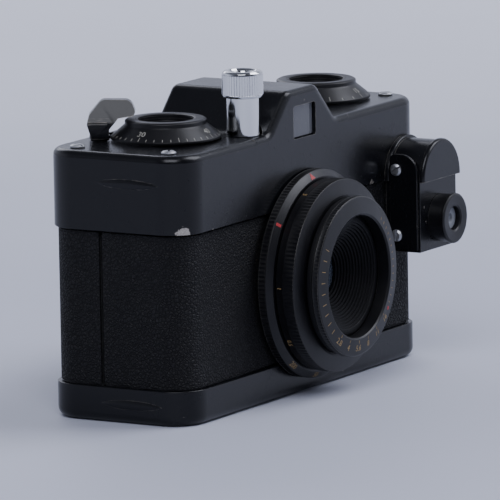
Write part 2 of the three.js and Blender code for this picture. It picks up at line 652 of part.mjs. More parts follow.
// ---------------------------------------------------------------- shutter and film path
function shutterParts() {
  const at = group(root, 0, shutter.y, lens.z);
  at.rotation.x = Math.PI / 2;
  const plate = cut(
    rod(shutter.radius, 0, shutter.thickness, ROUND),
    rod(shutter.hole, -1, 2, ROUND),
  );
  piece(at, "shutter_plate", plate, materials.steel);
  const reach = shutter.pivot + shutter.hole + 0.6;
  const sector = new THREE.Shape();
  sector.moveTo(0, -0.9);
  sector.absarc(0, 0, reach, -rad(shutter.bladeSpan / 2), rad(shutter.bladeSpan / 2));
  sector.lineTo(0, 0.9);
  const blade = slab(sector, 0, shutter.bladeThick, 10).rotateZ(-Math.PI / 2);
  piece(at, "shutter_blade", blade, materials.steel, 0, shutter.pivot, -shutter.bladeThick - 0.2);
}

// Film gate: a block with the light tunnel, rails for the film, and the frame opening behind.
function filmGate() {
  const { width, height, front, railHeight, railWidth } = gate;
  const [x, z] = [width / 2, height / 2];
  const back = film.plane - seat - railHeight;
  const tunnel = new THREE.Shape();
  tunnel.moveTo(-film.frameWidth / 2, back + railHeight + 1);
  tunnel.lineTo(-gate.tunnelRadius, front - 1);
  tunnel.lineTo(gate.tunnelRadius, front - 1);
  tunnel.lineTo(film.frameWidth / 2, back + railHeight + 1);
  const rail = (side) => block(-x, x, back - 0.1, back + railHeight, side * z - railWidth / 2, side * z + railWidth / 2);
  const body = cut(
    join(
      block(-x, x, front, back, -z, z),
      rail(1 - railWidth / height),
      rail(railWidth / height - 1),
    ),
    slab(tunnel, -film.frameHeight / 2, film.frameHeight / 2),
  );
  piece(root, "film_gate", body, materials.castMetal, 0, 0, lens.z);
}

// A cassette: a light-tight can with a slit for the film and a hollow hub on top.
function cassette(towards) {
  const { cassetteRadius: radius, cassetteHeight: height } = film;
  const can = turned([
    [0, 0], [radius - 0.4, 0], [radius, 0.4], [radius, height - 0.4], [radius - 0.4, height],
    [film.hub, height], [film.hub, height - film.hubRecess], [0, height - film.hubRecess],
  ]);
  const mouth = block(0, radius + 1, -film.mouth / 2, film.mouth / 2, (height - film.width) / 2 - 0.2,
    (height + film.width) / 2 + 0.2).rotateZ(towards);
  return cut(can, mouth);
}

function filmPath() {
  const low = lens.z - film.cassetteHeight / 2;
  const mouthAngle = Math.asin((film.plane - 0.4) / film.cassetteRadius);
  piece(root, "take_up_cassette", cassette(mouthAngle), materials.enamel, counter.x, 0, low);
  piece(root, "feed_cassette", cassette(Math.PI - mouthAngle), materials.enamel, film.cassetteX, 0, low);
  const gap = film.cassetteRadius * Math.cos(mouthAngle) + 2;
  const strip = block(counter.x + gap, film.cassetteX - gap, film.plane, film.plane + film.thickness,
    lens.z - film.width / 2, lens.z + film.width / 2);
  piece(root, "film_strip", strip, materials.filmBase);
}

// ---------------------------------------------------------------- base and back, one removable unit
function baseAndBack() {
  const hollow = slab(plan(camera.wall), camera.baseFloor, camera.baseHeight + 1);
  const bead = endBead(0.42 * camera.depth, 1.5, 0.25);
  const beadZ = 0.55 * camera.baseHeight;
  const beadY = 0.1 * camera.depth;
  const tray = cut(
    join(
      softSlab(plan(0), 0, camera.baseHeight, -camera.baseEdge),
      bead.clone().translate(half.x, beadY, beadZ),
      bead.clone().rotateZ(Math.PI).translate(-half.x, -beadY, beadZ),
    ),
    hollow,
    rod(lock.radius + clear, -1, lock.thickness + 2 * seat, ROUND).translate(lock.x, 0, 0),
    rod(lock.shaft + clear, -1, 9).translate(lock.x, 0, 0),
  );
  piece(root, "base_plate", tray, materials.enamel);
  const ahead = block(-half.x, half.x, -half.y - 1, backFrom, -1, camera.deck);
  const panel = cut(
    slab(plan(shellInset), shellLow, shellHigh),
    slab(plan(shellInset + camera.shellWall), shellLow - 1, shellHigh + 1),
    ahead,
  );
  piece(root, "back_panel", panel, materials.castMetal);
  const covering = cut(
    slab(plan(camera.overhang), skinLow, shellHigh),
    slab(plan(shellInset - seat), skinLow - 1, shellHigh + 1),
    ahead,
  );
  piece(root, "back_covering", covering, materials.leather);
}

// Spring-loaded plate that keeps the film flat in the gate.
function pressureParts() {
  const front = film.plane + film.thickness + 0.35;
  const wallInner = half.y - shellInset - camera.shellWall;
  const [x, z] = [gate.width / 2, gate.height / 2];
  const plate = softSlab(roundedRect(2 * x, 2 * z, 1.2), 0, 0.9, 0.3, 3).rotate([-90, 0, 0]);
  piece(root, "pressure_plate", plate, materials.steel, 0, front, lens.z);
  const [low, high, thick] = [front + 0.9 + 0.1, wallInner - 0.1, 0.25];
  const bow = new THREE.Shape();
  bow.moveTo(-x + 1, low);
  bow.quadraticCurveTo(0, 2 * (high - thick) - low, x - 1, low);
  bow.lineTo(x - 1, low + thick);
  bow.quadraticCurveTo(0, 2 * high - low - thick, -x + 1, low + thick);
  piece(root, "pressure_spring", slab(bow, -3, 3, 12), materials.steel, 0, 0, lens.z);
}

// Turn key in the base, with a bar that locks the unit to the camera.
function lockKey() {
  const disc = turned([
    [0, 0], [lock.radius - 0.3, 0], [lock.radius, 0.3], [lock.radius, lock.thickness],
    [lock.shaft, lock.thickness], [lock.shaft, lock.barHigh], [0, lock.barHigh],
  ]);
  const slot = block(-lock.radius + 1, lock.radius - 1, -lock.slotWidth / 2, lock.slotWidth / 2, -1, lock.slotDepth);
  const bar = slab(roundedRect(lock.barWidth, lock.barLength, 1), lock.barLow, lock.barHigh, 4);
  piece(root, "lock_key", join(cut(disc, slot), bar), materials.steel, lock.x, 0, seat);
}

// ---------------------------------------------------------------- flash contact box
// Arch outline in x and z, grown by lip; above keeps only the half-round.
function archOutline(lip, low) {
  const radius = box.width / 2 + lip;
  const shape = new THREE.Shape();
  shape.moveTo(-radius, low);
  shape.lineTo(radius, low);
  shape.absarc(0, 0, radius, 0, Math.PI);
  return shape;
}

function contactBox() {
  const archZ = camera.deck - 0.35 - (box.width / 2) - 5.95; // centre of the half-round
  const at = group(root, box.x, -half.y - seat, archZ);
  at.rotation.x = Math.PI / 2;
  const low = box.low - archZ;
  const floor = box.depth;
  const socket = { x: box.socketX - box.x, y: box.socketZ - archZ };
  const body = cut(
    slab(archOutline(0, low), 0, floor, 14),
    slab(archOutline(-box.wall, low + box.wall), -1, floor - box.wall, 14),
    rod(box.pinRadius + 0.6, -1, floor + 1).translate(socket.x, socket.y, 0),
  );
  piece(at, "contact_box", body, materials.enamel);
  const reach = box.width;
  const cap = cut(
    softSlab(archOutline(box.capLip, -box.capLip - reach), floor + seat, floor + box.capThick, box.capEdge, 14),
    block(-reach, reach, -3 * reach, -0.2, 0, 2 * floor),
  );
  piece(at, "contact_box_cap", cap, materials.enamel);
  const left = -box.width / 2 - seat;
  const [near, far] = [box.plateInset, floor - box.plateInset];
  const side = filleted([
    [near, low + box.plateInset], [far, low + box.plateInset], [far, box.plateTop, box.plateRound],
    [near, box.plateTop, 1],
  ]);
  const sidePlate = slab(side, 0, box.plateThick, 6).rotateY(-Math.PI / 2).translate(left, 0, 0);
  piece(at, "contact_box_plate", sidePlate, materials.enamel);
  [box.screwHigh, box.screwLow].forEach((z, i) => {
    const made = piece(at, `contact_box_screw_${i + 1}`, slottedScrew(box.screwRadius, 0), materials.steel,
      left - box.plateThick, z - archZ, box.screwDepth);
    made.rotation.set(rad(35 + 50 * i), -Math.PI / 2, 0);
  });
  const end = floor + box.socketDepth;
  const barrel = turned([
    [box.pinRadius + seat, floor + seat], [box.socketRadius, floor + seat], [box.socketRadius, end],
    [box.lipRadius, end], [box.lipRadius, end + 0.7 * box.lipThick],
    [box.lipRadius - 0.3, end + box.lipThick], [box.pinRadius + 0.25, end + 0.8 * box.lipThick],
    [box.pinRadius + seat, end + 0.5 * box.lipThick], [box.pinRadius + seat, floor + seat],
  ], ROUND);
  piece(at, "contact_socket", barrel, materials.anodised, socket.x, socket.y, 0);
  const pin = turned([
    [0, floor - 1.6], [box.pinRadius - 0.3, floor - 1.6], [box.pinRadius, floor + 0.2],
    [box.pinRadius, end - box.pinDepth], [0, end - box.pinDepth],
  ], SMALL);
  piece(at, "contact_pin", pin, materials.insulator, socket.x, socket.y, 0);
}

// ---------------------------------------------------------------- assembly
frontShell();
topHousing();
deckScrews();
finderOptics();
mechanismPlate();
windLever();
cockingGear();
dials();
releaseColumn();
lensMount();
speedRing();
focusRing();
lensCell();
lensGlass();
apertureRing();
irisBlades();
shutterParts();
filmGate();
filmPath();
baseAndBack();
pressureParts();
lockKey();
contactBox();

export default root;
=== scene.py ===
"""A subminiature camera for 16 mm film, built round its measured frame.

The body is lacquered sheet and leather, with a lens head of turned rings on the front, two dials and a
wind lever on the deck, a column release and a flash contact box. Sizes in the code are millimetres.
"""

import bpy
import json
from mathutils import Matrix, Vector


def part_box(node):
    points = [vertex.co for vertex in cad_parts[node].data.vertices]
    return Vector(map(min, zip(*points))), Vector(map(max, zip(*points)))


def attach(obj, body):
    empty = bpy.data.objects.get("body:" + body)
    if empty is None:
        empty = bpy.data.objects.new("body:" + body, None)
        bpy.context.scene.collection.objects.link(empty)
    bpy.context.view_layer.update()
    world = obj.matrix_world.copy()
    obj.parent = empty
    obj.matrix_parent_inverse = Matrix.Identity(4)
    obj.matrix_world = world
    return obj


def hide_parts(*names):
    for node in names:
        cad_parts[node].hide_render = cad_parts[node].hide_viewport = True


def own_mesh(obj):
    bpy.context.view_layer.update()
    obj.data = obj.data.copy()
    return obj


bl_info = {
    "name": "Subminiature Camera",
    "version": (1, 0, 0),
    "blender": (4, 5, 0),
    "location": "3D View > Sidebar > Camera",
    "description": "Builds the pieces of a subminiature camera and a plain stage for it",
    "category": "Object",
}

import json
from math import atan2, cos, pi, radians, sin, tan
from types import SimpleNamespace

import bmesh
import bpy
from mathutils import Matrix, Quaternion, Vector

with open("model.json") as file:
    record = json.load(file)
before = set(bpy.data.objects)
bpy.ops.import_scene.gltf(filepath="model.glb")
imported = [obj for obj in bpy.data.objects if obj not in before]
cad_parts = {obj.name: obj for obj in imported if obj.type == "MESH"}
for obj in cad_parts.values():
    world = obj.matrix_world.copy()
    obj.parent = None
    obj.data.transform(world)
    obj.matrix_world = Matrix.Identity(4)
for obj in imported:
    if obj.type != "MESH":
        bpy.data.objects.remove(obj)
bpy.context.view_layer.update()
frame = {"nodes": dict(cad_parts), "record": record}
MM = 0.001


def low(node):
    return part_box(node)[0] / MM


def high(node):
    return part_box(node)[1] / MM


def middle(node):
    return (low(node) + high(node)) / 2


FRONT = low("top_housing").y
REAR = high("top_housing").y
COVER_LOW = low("top_housing").z
SKIN_LOW = low("front_covering").z
SKIN_HIGH = high("front_covering").z
PLATE_HIGH = high("base_plate").z
LENS = Vector((middle("speed_ring").x, FRONT, middle("lens_cell").z))
COUNTER = middle("counter_dial")
MEMO = middle("memo_dial")
RELEASE = middle("release_cap")


# ---------------------------------------------------------------- sizes and colours
def length(name, description, default):
    return bpy.props.FloatProperty(name=name, description=description, default=default * MM, min=0,
                                   precision=5, unit="LENGTH")


def colour(name, description, default):
    return bpy.props.FloatVectorProperty(name=name, description=description, default=default, size=3,
                                         min=0, max=1, subtype="COLOR")


class BodySizes(bpy.types.PropertyGroup):
    """The housing, the base tray and the covering between them."""

    width: length("Width", "Across the two ends", 76)
    deck: length("Deck", "Height of the flat top", 43)
    corner: length("Corner", "Radius of the upright corners", 5.5)
    wall: length("Wall", "Sheet of the housing and the tray", 1)
    deck_edge: length("Deck edge", "Rounding of the deck's edge", 1.2)
    tray_edge: length("Tray edge", "Rounding of the tray's lower edge", 1.5)
    overhang: length("Overhang", "How far the housing stands proud of the covering", 0.6)
    skin: length("Skin", "Thickness of the covering", 0.45)
    hump_foot: length("Hump foot", "Width of the finder hump at the deck", 21.8)
    hump_top: length("Hump top", "Width of the finder hump's flat top", 9.6)
    hump_rise: length("Hump rise", "Height of the hump over the deck", 6.2)


class DeckSizes(bpy.types.PropertyGroup):
    """Dials, release and lever on the deck."""

    foot: length("Dial foot", "Radius of a dial at the deck", 8.8)
    rim: length("Dial rim", "Radius of a dial's upper rim", 6.4)
    recess: length("Dial recess", "Radius of the sunk centre", 4.4)
    dial_height: length("Dial height", "Height of a dial", 3.1)
    sleeve: length("Sleeve", "Radius of the release's sleeve", 2.7)
    cap: length("Cap", "Radius of the release's knurled cap", 3.3)
    reach: length("Lever reach", "From the dial's axis to the lever's post", 10.5)
    thumb: length("Thumb-piece", "Width of the lever's thumb-piece", 3.6)


class LensSizes(bpy.types.PropertyGroup):
    """Turned rings of the lens head."""

    bore: length("Bore", "Bore of the two outer rings", 11.3)
    speed: length("Speed ring", "Radius of the rearmost ring", 16.8)
    focus: length("Focus ring", "Radius of the focusing ring", 15.5)
    cell: length("Cell", "Radius of the lens cell's collar", 12.6)
    aperture: length("Aperture ring", "Radius of the front ring", 12.9)
    cone: length("Cone", "Radius of the glare cone's mouth", 8.6)
    glass: length("Glass", "Radius of the visible glass", 3.6)
    knurl: length("Knurl", "Depth of the rings' knurling", 0.15)


class BoxSizes(bpy.types.PropertyGroup):
    """Flash contact box."""

    aside: length("Aside", "Middle of the box, along the camera's width", 31.7)
    height: length("Height", "Centre of the arched top, over the floor", 30.65)
    width: length("Width", "Across the box", 12.1)
    depth: length("Depth", "From the housing to the face", 6.3)
    drop: length("Drop", "From the arch's centre down to the underside", 11.75)
    socket: length("Socket", "Radius of the contact barrel", 3.9)


class Finishes(bpy.types.PropertyGroup):
    """Colours of the painted, covered and engraved surfaces."""

    lacquer: colour("Lacquer", "Satin black of the sheet parts", (0.003, 0.0032, 0.0042))
    leather: colour("Leather", "Black of the covering", (0.0035, 0.0035, 0.0045))
    anodised: colour("Anodised", "Black of the turned rings", (0.003, 0.003, 0.004))
    ivory: colour("Ivory", "Fill of the dials' marks", (0.34, 0.33, 0.29))
    gold: colour("Gold", "Fill of the lens figures", (0.32, 0.215, 0.085))
    red: colour("Red", "Fill of the index marks", (0.4, 0.015, 0.02))
    floor: colour("Floor", "Paper under the camera", (0.45, 0.47, 0.56))


def in_mm(group):
    return SimpleNamespace(**{key: getattr(group, key) / MM for key in group.__annotations__})


# ---------------------------------------------------------------- shader expressions
class Value:
    """A node's output. Arithmetic on it adds Math nodes."""

    def __init__(self, shade, socket):
        self.shade = shade
        self.socket = socket

    def math(self, operation, first, second, clamp=False):
        return self.shade.add("ShaderNodeMath", {"operation": operation, "use_clamp": clamp},
                              {0: first, 1: second})

    def __add__(self, other):
        return self.math("ADD", self, other)

    def __sub__(self, other):
        return self.math("SUBTRACT", self, other)

    def __rsub__(self, other):
        return self.math("SUBTRACT", other, self)

    def __mul__(self, other):
        return self.math("MULTIPLY", self, other)

    def clipped(self):
        return self.math("ADD", self, 0, clamp=True)

    __radd__ = __add__


class Nodes:
    """A node tree that expressions add to."""

    def __init__(self, tree):
        self.tree = tree

    def add(self, kind, settings=None, inputs=None, out=0):
        node = self.tree.nodes.new(kind)
        for key, value in (settings or {}).items():
            setattr(node, key, value)
        for key, value in (inputs or {}).items():
            self.feed(node.inputs[key], value)
        return Value(self, node.outputs[out])

    def feed(self, socket, value):
        if isinstance(value, Value):
            self.tree.links.new(value.socket, socket)
        else:
            socket.default_value = (*value, 1) if isinstance(value, tuple) and len(value) == 3 and \
                socket.type == "RGBA" else value

    def between(self, value, start, end):
        """0 below start, 1 above end, smooth between."""
        return self.add("ShaderNodeMapRange", {"interpolation_type": "SMOOTHSTEP"},
                        {"Value": value, "From Min": start, "From Max": end})


class Shade(Nodes):
    """One material and its nodes. Points are taken in millimetres."""

    def __init__(self, name):
        self.material = bpy.data.materials.new(name)
        self.material.use_nodes = True
        super().__init__(self.material.node_tree)
        self.principled = self.tree.nodes["Principled BSDF"]
        where = self.add("ShaderNodeTexCoord", out="Object")
        self.point = self.add("ShaderNodeVectorMath", {"operation": "SCALE"},
                              {0: where, "Scale": 1 / MM}, out="Vector")

    def noise(self, per_mm, detail=3, stretch=None, rough=0.5):
        point = self.point
        if stretch:
            point = self.add("ShaderNodeVectorMath", {"operation": "MULTIPLY"}, {0: point, 1: stretch},
                             out="Vector")
        return self.add("ShaderNodeTexNoise", None,
                        {"Vector": point, "Scale": per_mm, "Detail": detail, "Roughness": rough})

    def cells(self, per_mm):
        return self.add("ShaderNodeTexVoronoi", {"feature": "F1"},
                        {"Vector": self.point, "Scale": per_mm}, out="Distance")

    def mix(self, share, first, second):
        return self.add("ShaderNodeMix", {"data_type": "RGBA"}, {0: share, 6: first, 7: second}, out=2)

    def edges(self, radius):
        """Share of turn of the surface within radius of a point: 0 on a flat, more at an edge."""
        soft = self.add("ShaderNodeBevel", {"samples": 6}, {"Radius": radius * MM})
        true = self.add("ShaderNodeNewGeometry", out="Normal")
        along = self.add("ShaderNodeVectorMath", {"operation": "DOT_PRODUCT"}, {0: soft, 1: true},
                         out="Value")
        return 1 - along

    def bump(self, height, depth, strength):
        return self.add("ShaderNodeBump", None,
                        {"Strength": strength, "Distance": depth * MM, "Height": height})

    def near(self, centre, radius):
        """1 at a place on the object, falling to 0 at radius from it."""
        away = self.add("ShaderNodeVectorMath", {"operation": "DISTANCE"}, {0: self.point, 1: centre},
                        out="Value")
        return 1 - self.between(away, 0, radius)

    def surface(self, **inputs):
        for key, value in inputs.items():
            self.feed(self.principled.inputs[key.replace("_", " ")], value)
        return self.material


BARE = (0.42, 0.39, 0.34)
CHIPS = (((-36.2, -11.8, COVER_LOW + 0.1), 2.4), ((21, FRONT, COVER_LOW), 1.4))  # centre and radius


def lacquer(colours):
    shade = Shade("lacquer")
    fine, broad = shade.noise(1.6, 6, rough=0.65), shade.noise(0.13, 4)
    scuff = shade.between(shade.noise(2.6, 8, (1, 1, 0.35), 0.7), 0.6, 0.76)
    edge = shade.edges(0.22)
    worn = shade.between(edge * 5 + (fine - 0.5) * 1.2, 0.42, 0.75)
    chipped = shade.between(edge * 6 + (shade.noise(0.9, 5) - 0.62) * 5, 0.55, 0.75)
    corner = shade.near(*CHIPS[0]) + shade.near(*CHIPS[1])
    bare = (chipped * 0.55 + shade.between(corner + (fine - 0.5) * 1.5, 0.55, 0.62)).clipped()
    paint = shade.mix(broad * 0.5, colours.lacquer[:], (0.006, 0.0065, 0.0085))
    dusted = shade.mix(scuff * 0.2, paint, (0.03, 0.031, 0.035))
    tinted = shade.mix(worn * 0.3, dusted, (0.07, 0.068, 0.068))
    grain = shade.noise(9, 2)
    return shade.surface(
        Base_Color=shade.mix(bare, tinted, BARE),
        Metallic=bare * 0.8,
        Roughness=0.25 + scuff * 0.14 + (broad - 0.5) * 0.14 + worn * 0.1,
        Specular_IOR_Level=0.3,
        Normal=shade.bump(grain * 0.6 + fine * 0.4 - bare, 0.02, 0.5),
    )


def leather(colours):
    shade = Shade("leather")
    pebble = shade.add("ShaderNodeTexVoronoi", {"feature": "DISTANCE_TO_EDGE"},
                       {"Vector": shade.point, "Scale": 1.9, "Randomness": 1}, out="Distance")
    small = shade.cells(4.2)
    crease = 1 - shade.between(pebble, 0.02, 0.22)
    rub = shade.between(shade.noise(3.1, 8, rough=0.75), 0.56, 0.72)
    speck = shade.between(shade.noise(5.5, 2), 0.66, 0.74)
    patch = shade.between(shade.noise(0.17, 3), 0.4, 0.7)
    hide = shade.mix(patch * 0.6, colours.leather[:], (0.006, 0.0058, 0.0062))
    raised = shade.mix((rub * (1 - crease)) * 0.4, hide, (0.03, 0.029, 0.031))
    grey = shade.mix(speck * (0.15 + patch * 0.6), raised, (0.085, 0.083, 0.085))
    return shade.surface(
        # The creases of the grain are painted near black: painted shade.
        Base_Color=shade.mix(crease * 0.7, grey, (0.0015, 0.0015, 0.002)),
        Roughness=0.55 + crease * 0.25 - rub * 0.12,
        Specular_IOR_Level=0.26,
        Normal=shade.bump(shade.between(pebble, 0, 0.3) + small * 0.35 + rub * 0.3, 0.16, 0.85),
    )


def anodised(colours, name="anodised", gloss=0.36, rough=0.4, wear=0.45):
    shade = Shade(name)
    fine, broad = shade.noise(2.2, 5, rough=0.65), shade.noise(0.3, 3)
    worn = shade.between(shade.edges(0.14) * 4 + (fine - 0.5) * 1.1, 0.5, 0.95)
    dust = shade.between(shade.noise(3.6, 6, rough=0.7), 0.6, 0.78)
    base = shade.mix(dust * 0.3 * wear, colours.anodised[:], (0.035, 0.035, 0.038))
    return shade.surface(
        Base_Color=shade.mix(worn * wear, base, (0.24, 0.23, 0.21)),
        Metallic=worn * wear,
        Roughness=rough + (broad - 0.5) * 0.2 + dust * 0.16,
        Specular_IOR_Level=gloss,
        Normal=shade.bump(shade.noise(7, 2), 0.012, 0.6),
    )


def turned_metal(name, base, stain, rough, grit):
    """Bright metal with fine tool marks, and brown dirt in its corners."""
    shade = Shade(name)
    dirt = shade.between(shade.noise(1.1, 6, rough=0.65) + shade.edges(0.25) * 0.9, 0.56, 0.8)
    lines = shade.noise(1.5, 4, (1, 1, 9))
    return shade.surface(
        Base_Color=shade.mix(dirt * stain, base, (0.12, 0.085, 0.05)),
        Metallic=1 - dirt * stain * 0.7,
        Roughness=rough + dirt * 0.22 + (lines - 0.5) * 0.14,
        Normal=shade.bump(lines + shade.noise(6, 2) * 0.3, grit, 0.5),
    )


def cast_metal(_colours):
    shade = Shade("cast_metal")
    lumps, soot = shade.noise(1.8, 5, rough=0.7), shade.noise(0.35, 3)
    return shade.surface(
        Base_Color=shade.mix(soot, (0.035, 0.036, 0.038), (0.1, 0.1, 0.1)),
        Metallic=0.6,
        Roughness=0.5 + lumps * 0.25,
        Normal=shade.bump(lumps, 0.06, 0.7),
    )


def optical_glass(_colours):
    shade = Shade("optical_glass")
    haze = shade.noise(0.5, 3)
    dust = shade.between(shade.noise(4.5, 4, rough=0.7), 0.66, 0.76)
    return shade.surface(
        Base_Color=shade.mix(dust * 0.5, (0.012, 0.014, 0.022), (0.14, 0.14, 0.15)),
        Roughness=0.04 + haze * 0.05 + dust * 0.4,
        Specular_IOR_Level=0.7,
        Coat_Weight=0.6,
        Coat_Roughness=0.03,
    )


def window_glass(_colours):
    shade = Shade("window_glass")
    reflection_streak = shade.between(shade.noise(0.42, 2, (1, 1, 0.12)), 0.42, 0.62)
    dust = shade.between(shade.noise(3.5, 5, rough=0.7), 0.58, 0.75)
    return shade.surface(
        # Bluish lighter streaks in the glass's colour are a painted reflection; the dust mixed over them is
        # its own.
        Base_Color=shade.mix(dust * 0.3, shade.mix(reflection_streak, (0.05, 0.052, 0.06), (0.12, 0.125, 0.14)),
                             (0.25, 0.24, 0.23)),
        Roughness=0.1 + dust * 0.35,
        Specular_IOR_Level=0.6,
    )


def film_base(_colours):
    shade = Shade("film_base")
    cloud = shade.noise(0.6, 3)
    return shade.surface(Base_Color=shade.mix(cloud, (0.035, 0.026, 0.02), (0.07, 0.05, 0.035)),
                         Roughness=0.25 + cloud * 0.2)


def insulator(_colours):
    shade = Shade("insulator")
    mottle, painted_edge_shade = shade.noise(1.2, 4), shade.between(shade.edges(0.3), 0.02, 0.3)
    return shade.surface(
        # The edges and corners of the insulator are painted darker: painted shade.
        Base_Color=shade.mix(painted_edge_shade * 0.7, shade.mix(mottle, (0.05, 0.053, 0.062), (0.09, 0.093, 0.105)),
                             (0.02, 0.018, 0.016)),
        Roughness=0.42 + mottle * 0.2,
        Normal=shade.bump(mottle, 0.03, 0.5),
    )


def filling(name, tint):
    """Paint rubbed into engraved marks, thin in places."""
    shade = Shade(name)
    thin = shade.between(shade.noise(2.8, 5, rough=0.7), 0.42, 0.72)
    return shade.surface(Base_Color=shade.mix(thin * 0.6, tint, tuple(part * 0.35 for part in tint)),
                         Roughness=0.5 + thin * 0.2)


FINISHES = {
    "lacquer": lacquer,
    "leather": leather,
    "anodised": anodised,
    "matt_black": lambda colours: anodised(colours, "matt_black", 0.2, 0.55, 0.1),
    "chrome": lambda colours: turned_metal("chrome", (0.6, 0.61, 0.63), 0.8, 0.17, 0.006),
    "steel": lambda colours: turned_metal("steel", (0.5, 0.5, 0.51), 0.6, 0.3, 0.012),
    "brass": lambda colours: turned_metal("brass", (0.55, 0.4, 0.17), 0.6, 0.3, 0.012),
    "cast_metal": cast_metal,
    "optical_glass": optical_glass,
    "window_glass": window_glass,
    "film_base": film_base,
    "insulator": insulator,
    "ivory": lambda colours: filling("ivory", tuple(colours.ivory)),
    "gold": lambda colours: filling("gold", tuple(colours.gold)),
    "red": lambda colours: filling("red", tuple(colours.red)),
}
SLOT_FINISH = {
    "enamel": "lacquer",
    "leatherette": "leather",
    "ring_black": "anodised",
    "castmetal": "cast_metal",
}
FINISH_SLOT = {finish: slot for slot, finish in SLOT_FINISH.items()}
for same in ("chrome", "steel", "brass", "optical_glass", "film_base", "insulator"):
    SLOT_FINISH[same] = FINISH_SLOT[same] = same
FINISH_SLOT["window_glass"] = "optical_glass"
FINISH_SLOT["matt_black"] = "ring_black"


def finish(name):
    return bpy.data.materials.get(name) or FINISHES[name](bpy.context.scene.camera_finishes)


# ---------------------------------------------------------------- outlines
def filleted(corners, steps=6):
    """Outline of [x, y, radius] corners, each rounded by an arc."""
    points = []
    for i, corner in enumerate(corners):
        here = Vector(corner[:2])
        radius = corner[2] if len(corner) > 2 else 0
        if not radius:
            points.append(here)
            continue
        before = (Vector(corners[i - 1][:2]) - here).normalized()
        after = (Vector(corners[(i + 1) % len(corners)][:2]) - here).normalized()
        half_turn = before.angle(after) / 2
        centre = here + (before + after).normalized() * (radius / sin(half_turn))
        start = here + before * (radius / tan(half_turn)) - centre
        end = here + after * (radius / tan(half_turn)) - centre
        sweep = atan2(start.x * end.y - start.y * end.x, start.dot(end))
        points += [centre + Matrix.Rotation(sweep * k / steps, 2) @ start for k in range(steps + 1)]
    return [p for i, p in enumerate(points) if (p - points[i - 1]).length > 1e-6]


def rectangle(width, height, radius, steps=6):
    x, y = width / 2, height / 2
    return filleted([(x, -y, radius), (x, y, radius), (-x, y, radius), (-x, -y, radius)], steps)


def arc(radius, start, end, steps, centre=(0, 0)):
    turns = [start + (end - start) * k / steps for k in range(steps + 1)]
    return [Vector((centre[0] + radius * cos(a), centre[1] + radius * sin(a))) for a in turns]


def drawn_in(points, inset):
    """The outline moved inwards all round; it runs anticlockwise."""
    moved = []
    for i, point in enumerate(points):
        before = (point - points[i - 1]).normalized()
        after = (points[(i + 1) % len(points)] - point).normalized()
        inwards = Vector((-after.y, after.x))
        mean = (Vector((-before.y, before.x)) + inwards).normalized()
        moved.append(point + mean * (inset / max(0.35, mean.dot(inwards))))
    return moved


# ---------------------------------------------------------------- solids
def bridge(form, first, second):
    for i in range(max(len(first), len(second))):
        loop = [first[i % len(first)], first[(i + 1) % len(first)], second[(i + 1) % len(second)],
                second[i % len(second)]]
        form.faces.new(list(dict.fromkeys(loop)))


def loft(rings, closed=False):
    """Skin over rings of points, with flat ends unless it closes on itself."""
    form = bmesh.new()
    loops = [[form.verts.new(point) for point in ring] for ring in rings]
    for first, second in zip(loops, loops[1:]):
        bridge(form, first, second)
    if closed:
        bridge(form, loops[-1], loops[0])
    else:
        for loop in (loops[0], loops[-1]):
            if len(loop) > 2:
                form.faces.new(loop)
    bmesh.ops.recalc_face_normals(form, faces=form.faces)
    return form


def levels(start, end, start_edge, end_edge, steps):
    """(inset, place) pairs from start to end, which round the two edges; an edge of 0 stays sharp."""
    turns = [k * pi / 2 / steps for k in range(steps + 1)]
    first, last = [(0, start)], [(0, end)]
    if start_edge:
        first = [(start_edge * (1 - sin(t)), start + start_edge * (1 - cos(t))) for t in turns]
    if end_edge:
        last = [(end_edge * (1 - cos(t)), end - end_edge * (1 - sin(t))) for t in turns]
    return first + last


def prism(outline, bottom, top, bottom_edge=0, top_edge=0, steps=5):
    """Upright prism whose bottom and top edges are rounded."""
    return loft([[(*point, z) for point in drawn_in(outline, inset)]
                 for inset, z in levels(bottom, top, bottom_edge, top_edge, steps)])


def turned(profile, facets=96, knurl=None):
    """Profile of [radius, height] points revolved round Z. knurl is (low, high, least radius, depth)."""
    rings = []
    for radius, height in profile:
        if radius < 1e-6:
            rings.append([(0, 0, height)])
            continue
        cut = 0
        if knurl and knurl[0] - 1e-6 <= height <= knurl[1] + 1e-6 and radius >= knurl[2]:
            cut = knurl[3]
        ring = []
        for i in range(facets):
            reach = radius - cut * (i % 2)
            ring.append((reach * cos(2 * pi * i / facets), reach * sin(2 * pi * i / facets), height))
        rings.append(ring)
    return loft(rings, closed=len(rings[0]) > 1)


def box_form(x0, x1, y0, y1, z0, z1):
    return prism([Vector(p) for p in ((x0, y0), (x1, y0), (x1, y1), (x0, y1))], z0, z1)


def disc(radius, bottom, top, facets=48):
    return turned([(0, bottom), (radius, bottom), (radius, top), (0, top)], facets)


def moved(form, matrix):
    form.transform(matrix)
    return form


def shifted(form, x=0, y=0, z=0):
    return moved(form, Matrix.Translation((x, y, z)))


def gathered(forms):
    whole = bmesh.new()
    for form in forms:
        carrier = bpy.data.meshes.new("carrier")
        form.to_mesh(carrier)
        form.free()
        whole.from_mesh(carrier)
        bpy.data.meshes.remove(carrier)
    return whole


def loose(form):
    mesh = bpy.data.meshes.new("loose")
    form.to_mesh(mesh)
    form.free()
    made = bpy.data.objects.new("loose", mesh)
    bpy.context.scene.collection.objects.link(made)
    return made


